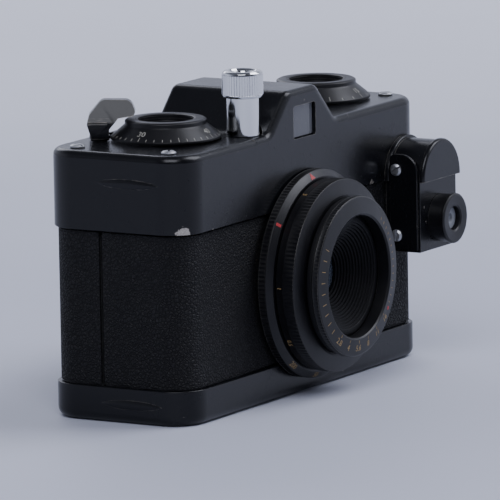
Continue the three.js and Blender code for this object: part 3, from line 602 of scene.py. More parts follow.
def carved(form, added=(), removed=()):
    """The form with others joined to it and then others cut from it."""
    base = loose(form)
    tools = [(loose(tool), "UNION") for tool in added] + [(loose(tool), "DIFFERENCE") for tool in removed]
    for tool, operation in tools:
        step = base.modifiers.new("step", "BOOLEAN")
        step.operation = operation
        step.solver = "EXACT"
        step.object = tool
    bpy.context.view_layer.update()
    result = bpy.data.meshes.new_from_object(base.evaluated_get(bpy.context.evaluated_depsgraph_get()))
    whole = bmesh.new()
    whole.from_mesh(result)
    bmesh.ops.remove_doubles(whole, verts=whole.verts, dist=1e-4)
    for made in [base, *(tool for tool, _ in tools)]:
        mesh = made.data
        bpy.data.objects.remove(made)
        bpy.data.meshes.remove(mesh)
    bpy.data.meshes.remove(result)
    return whole


SHARP = radians(30)  # edges that turn further than this stay crisp


def place(name, form, look, body, nodes=(), at=None):
    """Puts a finished form in the scene, riding on its body and standing for its nodes."""
    form.transform(Matrix.Scale(MM, 4) @ (at or Matrix.Identity(4)))
    mesh = bpy.data.meshes.new(name)
    form.to_mesh(mesh)
    form.free()
    mesh.shade_smooth()
    mesh.set_sharp_from_angle(angle=SHARP)
    mesh.materials.append(finish(look))
    made = bpy.data.objects.new(name, mesh)
    bpy.context.scene.collection.objects.link(made)
    even = made.modifiers.new("even", "WEIGHTED_NORMAL")
    even.keep_sharp = True
    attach(made, body)
    if nodes:
        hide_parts(*nodes)
    return made


# ---------------------------------------------------------------- figures and ticks
MARK = 0.02  # marks stand this far out of the metal, and as far into it


def figure(text, height):
    curve = bpy.data.curves.new("figure", "FONT")
    curve.body = text
    curve.size = height / 0.7
    curve.align_x = "CENTER"
    curve.align_y = "CENTER"
    curve.extrude = MARK
    curve.resolution_u = 3
    made = bpy.data.objects.new("figure", curve)
    bpy.context.scene.collection.objects.link(made)
    bpy.context.view_layer.update()
    mesh = bpy.data.meshes.new_from_object(made.evaluated_get(bpy.context.evaluated_depsgraph_get()))
    form = bmesh.new()
    form.from_mesh(mesh)
    bpy.data.objects.remove(made)
    bpy.data.curves.remove(curve)
    bpy.data.meshes.remove(mesh)
    return form


def tick(width, height):
    return box_form(-width / 2, width / 2, -height / 2, height / 2, -MARK, MARK)


def triangle(width, height):
    corners = [(-width / 2, height / 2), (0, -height / 2), (width / 2, height / 2)]
    return prism([Vector(corner) for corner in corners], -MARK, MARK)


def wrapped(form, foot, head, share, angle):
    """Bends a flat mark round a cone that runs from foot to head, both [radius, height]."""
    slope = Vector(head) - Vector(foot)
    along = slope.normalized()
    out = Vector((along.y, -along.x))
    start = Vector(foot) + slope * share
    for vert in form.verts:
        radius, height = start + along * vert.co.y + out * vert.co.z
        turn = angle + vert.co.x / start.x
        vert.co = (radius * cos(turn), radius * sin(turn), height)
    return form


HEAD = Matrix.Translation(LENS) @ Matrix.Rotation(pi / 2, 4, "X")


def upright(x, y, z):
    return Matrix.Translation((x, y, z))


# ---------------------------------------------------------------- pieces
class Build(bpy.types.Operator):
    """Base of the building steps."""

    bl_options = {"REGISTER", "UNDO"}

    def execute(self, context):
        scene = context.scene
        self.make(in_mm(scene.camera_body), in_mm(scene.camera_deck), in_mm(scene.camera_lens),
                  in_mm(scene.camera_box))
        return {"FINISHED"}


def plan(body, inset=0, steps=12):
    width, depth = body.width - 2 * inset, REAR - FRONT - 2 * inset
    return rectangle(width, depth, body.corner - inset, steps)


BEAD_Y = 2.65  # how far the beads stand off the middle of the end walls


def bead(body, side, y, z):
    """Lens-shaped bead pressed out of an end wall."""
    half_length, half_height, proud = 5.55, 0.75, 0.25
    sweep = [pi / 2 - k * pi / 16 for k in range(17)]
    upper = [Vector((half_length * sin(a), half_height * cos(a) ** 1.25)) for a in sweep]
    outline = upper + [Vector((-p.x, -p.y)) for p in upper[1:-1]]
    dome = [(1, -body.wall / 2)] + [(cos(k * pi / 12), proud * sin(k * pi / 12)) for k in range(6)]
    form = loft([[(*(p * share), rise) for p in outline] for share, rise in dome])
    turn = Matrix.Rotation(side * pi / 2, 4, "Z") @ Matrix.Rotation(pi / 2, 4, "X")
    return moved(form, Matrix.Translation((side * body.width / 2, y, z)) @ turn)


def hump_outline(body, inset=0):
    foot, top = body.hump_foot / 2 - inset, body.hump_top / 2 - inset
    flare = foot + 4.4
    return filleted([
        (-flare, -4), (flare, -4), (flare, -inset), (foot, -inset, 2.2 + inset),
        (top, body.hump_rise - inset, 2.2 - inset), (-top, body.hump_rise - inset, 2.2 - inset),
        (-foot, -inset, 2.2 + inset), (-flare, -inset),
    ], 8)


FINDER_X = middle("eyepiece_frame").x
HUMP_REAR = REAR - 4.8
EYE = Vector((FINDER_X, HUMP_REAR, 45.5))
WINDOW = Vector((FINDER_X + 0.4, FRONT + 0.6, 43.9))


def hump_form(body):
    """Finder hump, running back from the front face, both ends softened."""
    return loft([[(FINDER_X + p.x, y, body.deck + p.y) for p in hump_outline(body, inset)]
                 for inset, y in levels(FRONT, HUMP_REAR, 1, 1, 5)])


def along_depth(outline, front, back, x, z):
    return loft([[(x + p.x, y, z + p.y) for p in outline] for y in (front, back)])


def slot_end(reach, degrees):
    return (reach * cos(radians(degrees)), reach * sin(radians(degrees)))


class CAMERA_OT_housing(Build):
    """Build the lacquered top housing with its finder hump and lever slot"""

    bl_idname = "camera_kit.housing"
    bl_label = "Top housing"

    def make(self, body, deck, lens, box):
        under = body.deck - body.wall
        bead_z = body.deck - 4.75
        reach, play = deck.reach, 1.5
        slot = arc(reach + play, radians(60), radians(120), 24)
        slot += arc(play, radians(120), radians(300), 10, slot_end(reach, 120))[1:]
        slot += arc(reach - play, radians(120), radians(60), 24)[1:]
        slot += arc(play, radians(240), radians(420), 10, slot_end(reach, 60))[1:-1]
        window = rectangle(7.1, 5.3, 0.5)
        room = hump_outline(body, body.wall)
        removed = [
            prism(plan(body, body.wall), COVER_LOW - 1, under),
            along_depth(room, FRONT + body.wall, HUMP_REAR - body.wall, FINDER_X, body.deck),
            along_depth(window, FRONT - 1, FRONT + 3, WINDOW.x, WINDOW.z),
            moved(disc(2.25, -4, 4), Matrix.Translation(EYE) @ Matrix.Rotation(pi / 2, 4, "X")),
            shifted(prism(slot, under - 1, body.deck + 1), COUNTER.x, COUNTER.y),
            shifted(disc(3, body.deck, body.deck + 9), RELEASE.x, RELEASE.y),
            shifted(disc(2.5, under - 1, body.deck + 1), RELEASE.x, RELEASE.y),
        ]
        removed += [shifted(disc(1.4, under - 1, body.deck + 1), at.x, at.y) for at in (COUNTER, MEMO)]
        form = carved(
            prism(plan(body), COVER_LOW, body.deck, 0.15, body.deck_edge, 6),
            [hump_form(body), bead(body, 1, BEAD_Y, bead_z), bead(body, -1, -BEAD_Y, bead_z)],
            removed,
        )
        place("housing_shell", form, "lacquer", "camera_body", ["top_housing"])


def slotted(radius, rise, shank=0.6, stem=3, slot=0.35, depth=0.28):
    """Round-headed screw with a slot across it."""
    profile = filleted([(0, -stem), (shank, -stem), (shank, 0.05), (radius, 0.05, 0.06),
                        (radius, 0.55 * rise, 0.1), (radius - 0.35, rise, 0.25), (0, rise)], 4)
    return carved(turned(profile, 48), removed=[box_form(-3, 3, -slot / 2, slot / 2, rise - depth, 3)])


class CAMERA_OT_deck_screws(Build):
    """Build the four slotted screws of the deck"""

    bl_idname = "camera_kit.deck_screws"
    bl_label = "Deck screws"

    def make(self, body, deck, lens, box):
        for i, turn in enumerate((25, -40, 70, 10)):
            at = middle(f"deck_screw_{i + 1}")
            matrix = upright(at.x, at.y, body.deck) @ Matrix.Rotation(radians(turn), 4, "Z")
            place(f"deck_screw_head_{i + 1}", slotted(1.2, 0.5), "steel", "camera_body",
                  [f"deck_screw_{i + 1}"], matrix)


class CAMERA_OT_finder(Build):
    """Build the finder's window glass, its eyepiece ring and eye lens"""

    bl_idname = "camera_kit.finder"
    bl_label = "Finder"

    def make(self, body, deck, lens, box):
        glass = prism(rectangle(6.95, 5.15, 0.45), 0, 0.85, 0.08, 0.08, 3)
        stand = Matrix.Rotation(pi / 2, 4, "X")
        place("finder_window", glass, "window_glass", "camera_body", ["finder_front_glass"],
              Matrix.Translation((WINDOW.x, WINDOW.y + 0.85, WINDOW.z)) @ stand)
        face = Matrix.Translation(EYE) @ Matrix.Rotation(-pi / 2, 4, "X")
        ring = filleted([(1.45, -1.6), (1.95, -1.6), (1.95, 0.05), (2.45, 0.05, 0.1), (2.3, 0.45, 0.15),
                         (1.6, 0.5, 0.08)], 4)
        place("eyepiece_ring", turned(ring, 64), "anodised", "camera_body", ["eyepiece_frame"], face)
        bulge = [(0, -1.5), (1.4, -1.5), (1.4, -0.55), (1.2, -0.38), (0.8, -0.25), (0.4, -0.18), (0, -0.16)]
        place("eyepiece_lens", turned(bulge, 48), "optical_glass", "camera_body", ["finder_eye_lens"], face)


class CAMERA_OT_lever(Build):
    """Build the wind lever with its hooked, ribbed thumb-piece"""

    bl_idname = "camera_kit.lever"
    bl_label = "Wind lever"

    def make(self, body, deck, lens, box):
        reach, half_thumb, top = deck.reach, deck.thumb / 2, body.deck
        arm_high = top - body.wall - 1.2
        arm_low = arm_high - 1.4
        side = filleted([
            (reach - 1.5, 0.4), (reach + 1.3, 0.4), (reach + 2, 2.7, 1), (reach + 1.6, 4.2, 1),
            (reach - 0.4, 6.5, 1.2), (reach - 5, 6.4, 1.3), (reach - 6, 4, 0.7), (reach - 3, 3.6, 0.5),
            (reach - 1.5, 1.8, 0.5),
        ], 5)
        thumb = prism(side, -half_thumb, half_thumb, 0.2, 0.2, 2)
        thumb = moved(thumb, Matrix.Translation((0, 0, top)) @ Matrix.Rotation(pi / 2, 4, "X"))

        def slant(x, depth, low_z, high_z, rise):
            foot = Matrix.Translation((0, half_thumb, top + 2.9 + rise))
            lean = foot @ Matrix.Rotation(radians(24), 4, "X")
            return moved(box_form(x, 30, depth, 9, low_z, high_z), lean)

        grooves = [slant(reach - 1.2 - 0.476 * i, -0.3, -0.15, 0.15, 0.68 * i) for i in range(5)]
        arm = filleted([(0, -1.4), (reach + 1.4, -1.4, 1), (reach + 1.4, 1.4, 1), (0, 1.4)])
        form = carved(thumb, removed=[slant(0, 0, -0.68, 9, 0), *grooves])
        form = carved(
            form,
            [shifted(disc(1.65, top + 0.3, top + 0.8), reach),
             shifted(disc(1.2, arm_low + 0.2, top + 1), reach),
             prism(arm, arm_low, arm_high), disc(2.6, arm_low, arm_high)],
            [disc(1.3, arm_low - 1, arm_high + 1)],
        )
        at = upright(COUNTER.x, COUNTER.y, 0) @ Matrix.Rotation(radians(120), 4, "Z")
        place("lever_piece", form, "lacquer", "wind_lever", ["wind_lever"], at)


DIAL_GAP = 0.3  # between the deck and the dials' feet


class CAMERA_OT_dials(Build):
    """Build the two deck dials with their ticks, figures and centre screws"""

    bl_idname = "camera_kit.dials"
    bl_label = "Deck dials"

    def make(self, body, deck, lens, box):
        foot, rim, recess, height = deck.foot, deck.rim, deck.recess, deck.dial_height
        cone_foot, cone_head = (foot - 0.05, 0.4), (rim + 0.35, 0.66 * height)
        floor = 0.62 * height
        dials = (("counter", COUNTER, 40, 10, 18), ("memo", MEMO, 24, 6, 3))
        for name, at, ticks, per_figure, first in dials:
            profile = filleted([
                (0, -1.9), (1.1, -1.9), (1.1, 0), (foot, 0, 0.05), (foot, 0.35, 0.08),
                (*cone_head, 0.15), (rim + 0.1, 0.74 * height, 0.12), (rim + 0.1, 0.93 * height, 0.2),
                (rim - 0.3, height, 0.25), (recess + 0.35, height, 0.1), (recess, 0.9 * height),
                (recess, floor, 0.1), (1.5, floor, 0.15), (1.35, floor - 0.1), (0, floor - 0.1),
            ], 4)
            form = turned(profile, 168)
            place(f"{name}_dial_body", form, "anodised", f"{name}_dial", [f"{name}_dial"],
                  upright(at.x, at.y, body.deck + DIAL_GAP))
            serration = [(recess - 0.02, 0.76 * height), (recess + 0.5, 0.78 * height),
                         (recess + 0.5, height + 0.02), (recess + 0.05, height - 0.08)]
            place(f"{name}_dial_serration", turned(serration, 144, (0, 9, recess + 0.4, 0.16)), "anodised",
                  f"{name}_dial", at=upright(at.x, at.y, body.deck + DIAL_GAP))
            marks = []
            for i in range(ticks):
                turn = 2 * pi * i / ticks
                long = i % (per_figure // 2) == 0
                marks.append(wrapped(tick(0.09, 0.85 if long else 0.5), cone_foot, cone_head,
                                     0.2 if long else 0.14, turn))
            for k in range(ticks // per_figure):
                text = str(10 * (k + 1)) if name == "counter" else str(first + 4 * k)
                marks.append(wrapped(figure(text, 1.0), cone_foot, cone_head, 0.62,
                                     2 * pi * k * per_figure / ticks))
            place(f"{name}_dial_marks", gathered(marks), "ivory", f"{name}_dial",
                  at=upright(at.x, at.y, body.deck + DIAL_GAP))
            head = slotted(1.25, 0.45, shank=0.5, stem=0.1, slot=0.3)
            place(f"{name}_dial_screw", head, "steel", f"{name}_dial",
                  at=upright(at.x, at.y, body.deck + DIAL_GAP + floor - 0.12) @ Matrix.Rotation(0.9, 4, "Z"))


class CAMERA_OT_release(Build):
    """Build the release column: its polished sleeve and knurled cap"""

    bl_idname = "camera_kit.release"
    bl_label = "Release column"

    def make(self, body, deck, lens, box):
        at = upright(RELEASE.x, RELEASE.y, body.deck)
        sleeve = filleted([(2, -1.5), (2.2, -1.5), (2.2, 0.05), (deck.sleeve, 0.05, 0.1),
                           (deck.sleeve, 6.4, 0.2), (2, 6.4)], 4)
        place("release_tube", turned(sleeve, 96), "chrome", "camera_body", ["release_sleeve"], at)
        low_rim, top, radius = 6.2, high("release_cap").z - body.deck, deck.cap
        cap = filleted([
            (0, -6), (0.9, -6), (0.9, 8.5), (2.95, 8.5), (2.95, low_rim), (radius - 0.1, low_rim, 0.08),
            (radius - 0.02, low_rim + 0.3), (radius - 0.02, low_rim + 0.42), (radius, low_rim + 0.45),
            (radius, top - 0.62), (radius - 0.05, top - 0.58), (radius - 0.08, top - 0.3, 0.15),
            (radius - 0.4, top, 0.2), (2.35, top, 0.1), (2.05, top - 0.35, 0.1), (1.75, top - 0.3, 0.1),
            (1.5, top - 1.1, 0.15), (0, top - 1.2),
        ], 3)
        knurl = (low_rim + 0.44, top - 0.61, radius - 0.01, 0.16)
        place("release_button", turned(cap, 88, knurl), "chrome", "release_cap", ["release_cap"], at)


# ---------------------------------------------------------------- lens head
class CAMERA_OT_speed_ring(Build):
    """Build the knurled speed ring with its index and figures"""

    bl_idname = "camera_kit.speed_ring"
    bl_label = "Speed ring"

    def make(self, body, deck, lens, box):
        radius, edge, face = lens.speed, 1.8, 2.6
        profile = filleted([
            (lens.bore, 0.3), (radius - 0.06, 0.3, 0.08), (radius - 0.02, 0.5), (radius, 0.52),
            (radius, edge - 0.22), (radius - 0.02, edge - 0.2), (radius - 0.02, edge, 0.08),
            (radius - 1.1, face, 0.15), (lens.bore, face),
        ], 3)
        knurl = (0.51, edge - 0.21, radius - 0.01, lens.knurl)
        place("speed_ring_turning", turned(profile, 300, knurl), "anodised", "speed_ring",
              ["speed_ring"], HEAD)
        foot, head = (radius, edge), (radius - 1.1, face)
        figures = [wrapped(figure(text, 0.9), foot, head, 0.5, radians(turn))
                   for text, turn in (("200", 236), ("50", 263), ("25", 285))]
        place("speed_ring_figures", gathered(figures), "gold", "speed_ring", at=HEAD)
        index = [wrapped(triangle(1.3, 1.1), foot, head, 0.5, radians(98)),
                 wrapped(tick(0.5, 0.9), foot, head, 0.5, radians(143))]
        place("speed_ring_index", gathered(index), "red", "speed_ring", at=HEAD)


class CAMERA_OT_focus_ring(Build):
    """Build the focusing ring with its distance scale"""

    bl_idname = "camera_kit.focus_ring"
    bl_label = "Focus ring"

    def make(self, body, deck, lens, box):
        radius, back, band, edge, face = lens.focus, 2.9, 4.1, 6.1, 6.6
        profile = filleted([
            (lens.bore, back), (radius - 0.1, back, 0.08), (radius - 0.1, band - 0.05), (radius, band),
            (radius, edge - 0.12), (radius - 0.05, edge - 0.1), (radius - 0.1, edge, 0.08),
            (radius - 2.5, face, 0.12), (lens.bore, face),
        ], 3)
        knurl = (band - 0.01, edge - 0.11, radius - 0.01, lens.knurl)
        place("focus_ring_turning", turned(profile, 280, knurl), "anodised", "focus_ring",
              ["focus_ring"], HEAD)
        foot, head = (radius - 0.1, back), (radius - 0.1, band - 0.05)
        scale = (("0.5", 217), ("1", 180), ("3", 116), ("8", 75))
        figures = [wrapped(figure(text, 0.75), foot, head, 0.5, radians(turn)) for text, turn in scale]
        place("focus_ring_figures", gathered(figures), "gold", "focus_ring", at=HEAD)


COLLAR_BACK = 6.9
CELL_FRONT = 7.8
WELL = 7.0
NOSE = 7.4


class CAMERA_OT_lens_cell(Build):
    """Build the lens cell with its grooved glare cone, and the front glass"""

    bl_idname = "camera_kit.lens_cell"
    bl_label = "Lens cell"

    def make(self, body, deck, lens, box):
        hub, cone_floor, grooves = 6.1, 3.0, 13
        corners = [
            (8.4, -1.5), (9.55, -1.5), (9.55, hub), (10.7, hub), (10.7, COLLAR_BACK),
            (lens.cell, COLLAR_BACK, 0.08), (lens.cell, CELL_FRONT, 0.12), (11.2, CELL_FRONT, 0.08),
            (11.2, WELL), (9.5, WELL), (9.5, NOSE, 0.12), (lens.cone, NOSE, 0.1),
        ]
        fall, narrow = (NOSE - cone_floor) / grooves, (lens.cone - lens.glass) / grooves
        for i in range(1, grooves + 1):
            depth = NOSE - i * fall
            corners += [(lens.cone - (i - 0.9) * narrow, depth + 0.04), (lens.cone - i * narrow, depth)]
        corners += [(lens.glass, cone_floor - 0.5), (4.15, cone_floor - 0.5), (4.15, 1.1), (8.4, 1.1)]
        place("lens_cell_turning", turned(filleted(corners, 3), 128), "matt_black", "lens_cell",
              ["lens_cell"], HEAD)
        seat = cone_floor - 0.55
        dome = [(0, 1.2), (2.6, 1.25), (4.1, 1.4), (4.1, seat), (3.45, seat)]
        dome += [(3.4 * cos(k * pi / 16), seat + 0.54 * sin(k * pi / 16)) for k in range(1, 8)]
        place("front_glass", turned([*dome, (0, seat + 0.54)], 96), "optical_glass", "lens_cell",
              ["front_element"], HEAD)


class CAMERA_OT_aperture_ring(Build):
    """Build the aperture ring on the front of the lens"""

    bl_idname = "camera_kit.aperture_ring"
    bl_label = "Aperture ring"

    def make(self, body, deck, lens, box):
        radius, bore, back, edge, face = lens.aperture, 9.85, 8.04, 9.09, 9.49
        profile = filleted([
            (bore, 7.3), (10.9, 7.3), (10.9, back), (radius - 0.05, back, 0.06), (radius, back + 0.12),
            (radius, edge - 0.14), (radius - 0.06, edge - 0.12), (radius - 0.25, edge, 0.08),
            (bore + 0.3, face, 0.12), (bore, face - 0.25, 0.05),
        ], 3)
        knurl = (back + 0.11, edge - 0.13, radius - 0.01, lens.knurl)
        place("aperture_ring_turning", turned(profile, 248, knurl), "anodised", "aperture_ring",
              ["aperture_ring"], HEAD)
        foot, head = (radius - 0.25, edge), (bore + 0.3, face)
        stops = (("2.8", 236), ("4", 252), ("5.6", 268), ("8", 284), ("11", 300), ("16", 316))
        figures = [wrapped(figure(text, 0.95), foot, head, 0.42, radians(turn)) for text, turn in stops]
        figures += [wrapped(tick(0.1, 0.5), foot, head, 0.84, radians(turn)) for _, turn in stops]
        figures += [wrapped(tick(0.1, 0.9), foot, head, 0.5, radians(turn)) for turn in range(150, 224, 9)]
        figures += [wrapped(tick(0.1, 0.55), foot, head, 0.6, radians(turn)) for turn in range(330, 412, 6)]
        place("aperture_ring_figures", gathered(figures), "gold", "aperture_ring", at=HEAD)
        dot = wrapped(disc(0.32, -MARK, MARK, 20), foot, head, 0.5, radians(325))
        place("aperture_ring_index", dot, "red", "aperture_ring", at=HEAD)


# ---------------------------------------------------------------- coverings and base
def band_form(body, front_side):
    """Covering that wraps one half of the body from the parting line."""
    inset = body.overhang
    outline = plan(body, inset, 14)
    thinned = drawn_in(outline, body.skin)
    rings = [[(*p, z) for p in ring] for ring, z in
             ((outline, SKIN_LOW), (outline, SKIN_HIGH), (thinned, SKIN_HIGH), (thinned, SKIN_LOW))]
    form = loft(rings, closed=True)
    limit = high("front_covering").y if front_side else low("back_covering").y
    far = body.width
    gone = (limit, far) if front_side else (-far, limit)
    return carved(form, removed=[box_form(-far, far, *gone, -1, far)])


class CAMERA_OT_coverings(Build):
    """Build the leather coverings of the front and the back"""

    bl_idname = "camera_kit.coverings"
    bl_label = "Coverings"

    def make(self, body, deck, lens, box):
        bore = moved(disc(11.25, 0, 12, 96), Matrix.Translation((LENS.x, 0, LENS.z)) @
                     Matrix.Rotation(pi / 2, 4, "X"))
        front = carved(band_form(body, True), removed=[moved(bore, Matrix.Translation((0, FRONT / 3, 0)))])
        place("front_leather", front, "leather", "camera_body", ["front_covering"])
        place("back_leather", band_form(body, False), "leather", "base_unit", ["back_covering"])


class CAMERA_OT_base(Build):
    """Build the lacquered base tray"""

    bl_idname = "camera_kit.base"
    bl_label = "Base tray"

    def make(self, body, deck, lens, box):
        key = middle("lock_key")
        bead_z = PLATE_HIGH - 2.6
        form = carved(
            prism(plan(body), 0, PLATE_HIGH, body.tray_edge, 0.15, 6),
            [bead(body, 1, BEAD_Y, bead_z), bead(body, -1, -BEAD_Y, bead_z)],
            [prism(plan(body, body.wall), 1.2, PLATE_HIGH + 1),
             shifted(disc(5.3, -1, 1.0), key.x, key.y), shifted(disc(1.8, -1, 3), key.x, key.y)],
        )
        place("base_tray", form, "lacquer", "base_unit", ["base_plate"])


# ---------------------------------------------------------------- flash contact box
BOX_BACK = high("contact_box").y


def arch(radius, bottom, steps=24):
    return [Vector((-radius, bottom)), Vector((radius, bottom)), *arc(radius, 0, pi, steps)]


class CAMERA_OT_contact_box(Build):
    """Build the arched contact box, its cap, its side plate and two screws"""

    bl_idname = "camera_kit.contact_box"
    bl_label = "Contact box"

    def make(self, body, deck, lens, box):
        radius = box.width / 2
        at = Matrix.Translation((box.aside, BOX_BACK, box.height)) @ Matrix.Rotation(pi / 2, 4, "X")
        bottom = -box.drop
        below = box_form(-20, 20, -40, -0.2, -1, 20)
        shell = prism(arch(radius, bottom), 0, box.depth, 0, 0.12, 3)
        flange = carved(prism(arch(radius + 0.5, -20), 0, 0.8, 0, 0.3, 4), removed=[below.copy()])
        hole = shifted(disc(2.4, 1, 9), 0.35, bottom + 5)
        place("contact_box_shell", carved(shell, [flange], [hole]), "lacquer", "camera_body",
              ["contact_box"], at)
        cap = prism(arch(radius + 0.25, -20), box.depth + 0.02, box.depth + 0.85, 0.06, 0.5, 6)
        cap = carved(cap, removed=[below])
        place("contact_box_lid", cap, "lacquer", "camera_body", ["contact_box_cap"], at)
        side = filleted([(0.9, bottom + 0.35, 0.2), (5.95, bottom + 0.35, 0.2), (5.95, 4.3, 2.8),
                         (0.9, 4.3, 1)], 8)
        plate = prism(side, 0, 0.4, 0, 0.12, 3)
        flip = Matrix.Translation((-radius - 0.05, 0, 0)) @ Matrix.Rotation(-pi / 2, 4, "Y")
        place("contact_box_side", plate, "lacquer", "camera_body", ["contact_box_plate"], at @ flip)
        for i, rise in enumerate((13.5, 2.7)):
            seat = Matrix.Translation((-radius - 0.45, bottom + rise, 2.2))
            stand = seat @ Matrix.Rotation(-pi / 2, 4, "Y")
            head = slotted(1, 0.5, shank=0.5, stem=0.3)
            place(f"box_screw_head_{i + 1}", head, "steel", "camera_body", [f"contact_box_screw_{i + 1}"],
                  at @ stand @ Matrix.Rotation(radians(35 + 50 * i), 4, "Z"))
        socket = at @ Matrix.Translation((0.35, bottom + 5, box.depth))
        barrel = filleted([
            (1.95, 0.05), (box.socket, 0.05), (box.socket, 2.5, 0.05), (4.1, 2.5, 0.05), (4.1, 2.9, 0.15),
            (3.75, 3.05, 0.15), (2.2, 2.94, 0.12), (1.95, 2.75, 0.05),
        ], 4)
        place("socket_barrel", turned(barrel, 96), "anodised", "camera_body", ["contact_socket"], socket)
        pin = filleted([(0, -1.6), (1.6, -1.6), (1.88, 0.2), (1.88, 2, 0.12), (0.75, 2, 0.1), (0.6, 1.6, 0.1),
                        (0, 1.6)], 4)
        place("socket_pin", turned(pin, 64), "insulator", "camera_body", ["contact_pin"], socket)


class CAMERA_OT_release_coil(Build):
    """Build the release's coil spring at one length; in the camera it shortens as the cap is pressed"""

    bl_idname = "camera_kit.release_coil"
    bl_label = "Release spring"

    def make(self, body, deck, lens, box):
        bottom, top, travel = low("release_spring").z, high("release_spring").z, 1.8
        wire, coils, steps = 0.22, 5, 160
        rings = []
        for i in range(steps + 1):
            turn = 2 * pi * coils * i / steps
            height = bottom + wire + (top - bottom - 2 * wire) * i / steps
            ring = arc(wire, 0, 2 * pi, 10, (1.5, 0))[:-1]
            rings.append([(RELEASE.x + p.x * cos(turn), RELEASE.y + p.x * sin(turn), height + p.y)
                          for p in ring])
        made = place("release_coil", loft(rings), "steel", "camera_body", ["release_spring"])
        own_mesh(made)


class CAMERA_OT_inner_parts(Build):
    """Give the parts inside the camera their finishes"""

    bl_idname = "camera_kit.inner_parts"
    bl_label = "Inner parts"

    def make(self, body, deck, lens, box):
        for part in frame["record"]["subparts"]:
            node = frame["nodes"][part["node"]]
            if node.hide_render:
                continue
            slot = part["material_slot"]
            node.data.materials.clear()
            node.data.materials.append(finish(SLOT_FINISH[slot]))


# ---------------------------------------------------------------- stage
FLOOR_RADIUS = 4  # in metres, so that its edge is out of view


def aimed(made, target):
    made.rotation_mode = "QUATERNION"
    made.rotation_quaternion = (Vector(target) - made.location).to_track_quat("-Z", "Y")


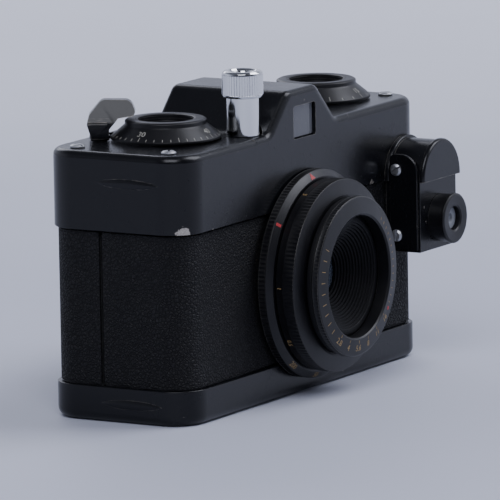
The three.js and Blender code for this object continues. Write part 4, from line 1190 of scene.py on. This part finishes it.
class CAMERA_OT_stage(bpy.types.Operator):
    """Set out the pale floor, the soft light and the view"""

    bl_idname = "camera_kit.stage"
    bl_label = "Stage"
    bl_options = {"REGISTER", "UNDO"}

    def execute(self, context):
        scene = context.scene
        self.floor(scene)
        self.lights(scene)
        self.view(scene)
        return {"FINISHED"}

    def floor(self, scene):
        tint = tuple(scene.camera_finishes.floor)
        shade = Shade("floor_paper")
        cloud = shade.noise(0.008, 3)
        away = shade.between(shade.add("ShaderNodeVectorMath", {"operation": "LENGTH"}, {0: shade.point},
                                       out="Value"), 60, 520)
        # The floor is painted darker near the camera and lighter far from it: painted shade round the camera.
        shade.surface(
            Base_Color=shade.mix((away * 0.8 + cloud * 0.25).clipped(), tint, (0.8, 0.82, 0.92)),
            Roughness=0.5 + cloud * 0.1,
            Specular_IOR_Level=0.3,
        )
        mesh = bpy.data.meshes.new("floor")
        form = bmesh.new()
        bmesh.ops.create_circle(form, cap_ends=True, segments=64, radius=FLOOR_RADIUS)
        form.to_mesh(mesh)
        form.free()
        mesh.materials.append(shade.material)
        made = bpy.data.objects.new("floor", mesh)
        scene.collection.objects.link(made)

    def lights(self, scene):
        world = bpy.data.worlds.new("studio")
        scene.world = world
        world.use_nodes = True
        background = world.node_tree.nodes["Background"]
        background.inputs["Color"].default_value = (0.77, 0.81, 1, 1)
        sky = Nodes(world.node_tree)
        direction = sky.add("ShaderNodeTexCoord", out="Generated")
        facing = sky.add("ShaderNodeVectorMath", {"operation": "DOT_PRODUCT"},
                         {0: direction, 1: (-0.82, -0.57, 0)}, out="Value")
        rise = sky.add("ShaderNodeSeparateXYZ", None, {0: direction}, out="Z")
        level = (1 - sky.between(facing, -0.15, 0.75) * 0.9) * (1 - sky.between(rise, 0.3, 0.8) * 0.8)
        sky.feed(background.inputs["Strength"], level * 0.98)
        for name, place_at, size, power in (
            ("key_right", (0.75, -0.75, 1.2), 1.0, 20),
            ("key_left", (-1.0, -0.45, 1.2), 1.0, 17),
            ("rear_fill", (0.9, 1.1, 0.9), 0.7, 4),
        ):
            light = bpy.data.lights.new(name, "AREA")
            light.energy = power
            light.size = size
            light.color = (0.88, 0.9, 1)
            made = bpy.data.objects.new(name, light)
            made.location = place_at
            aimed(made, (0, 0, 0.025))
            scene.collection.objects.link(made)

    def view(self, scene):
        azimuth, elevation, roll, distance = radians(-59.5), radians(9.4), radians(1), 1.3
        target = Vector((0, 0, 0.022))
        back = Vector((sin(azimuth) * cos(elevation), -cos(azimuth) * cos(elevation), sin(elevation)))
        camera = bpy.data.cameras.new("view")
        camera.sensor_width = 36
        camera.lens = 581.5
        camera.shift_x = 0.0267
        camera.shift_y = -0.0007
        camera.clip_end = 100
        made = bpy.data.objects.new("view", camera)
        made.location = target + back * distance
        made.rotation_mode = "QUATERNION"
        made.rotation_quaternion = (-back).to_track_quat("-Z", "Y") @ Quaternion((0, 0, 1), -roll)
        scene.collection.objects.link(made)
        scene.camera = made


# ---------------------------------------------------------------- add-on
STEPS = (
    CAMERA_OT_housing, CAMERA_OT_deck_screws, CAMERA_OT_finder, CAMERA_OT_lever, CAMERA_OT_dials,
    CAMERA_OT_release, CAMERA_OT_speed_ring, CAMERA_OT_focus_ring, CAMERA_OT_lens_cell,
    CAMERA_OT_aperture_ring, CAMERA_OT_coverings, CAMERA_OT_base, CAMERA_OT_contact_box,
    CAMERA_OT_release_coil, CAMERA_OT_inner_parts, CAMERA_OT_stage,
)
GROUPS = {
    "camera_body": BodySizes,
    "camera_deck": DeckSizes,
    "camera_lens": LensSizes,
    "camera_box": BoxSizes,
    "camera_finishes": Finishes,
}


class CAMERA_PT_panel(bpy.types.Panel):
    """Lists the building steps"""

    bl_label = "Subminiature camera"
    bl_idname = "CAMERA_PT_panel"
    bl_space_type = "VIEW_3D"
    bl_region_type = "UI"
    bl_category = "Camera"

    def draw(self, context):
        for step in STEPS:
            self.layout.operator(step.bl_idname)
        for key, group in GROUPS.items():
            section = self.layout.box()
            section.label(text=group.__name__)
            for field in group.__annotations__:
                section.prop(getattr(context.scene, key), field)


def register():
    for made in (*GROUPS.values(), *STEPS, CAMERA_PT_panel):
        bpy.utils.register_class(made)
    for key, group in GROUPS.items():
        setattr(bpy.types.Scene, key, bpy.props.PointerProperty(type=group))


def unregister():
    for key in GROUPS:
        delattr(bpy.types.Scene, key)
    for made in reversed((*GROUPS.values(), *STEPS, CAMERA_PT_panel)):
        bpy.utils.unregister_class(made)


def main():
    register()
    for step in STEPS:
        kit, name = step.bl_idname.split(".")
        getattr(getattr(bpy.ops, kit), name)()


if __name__ == "__main__":
    main()
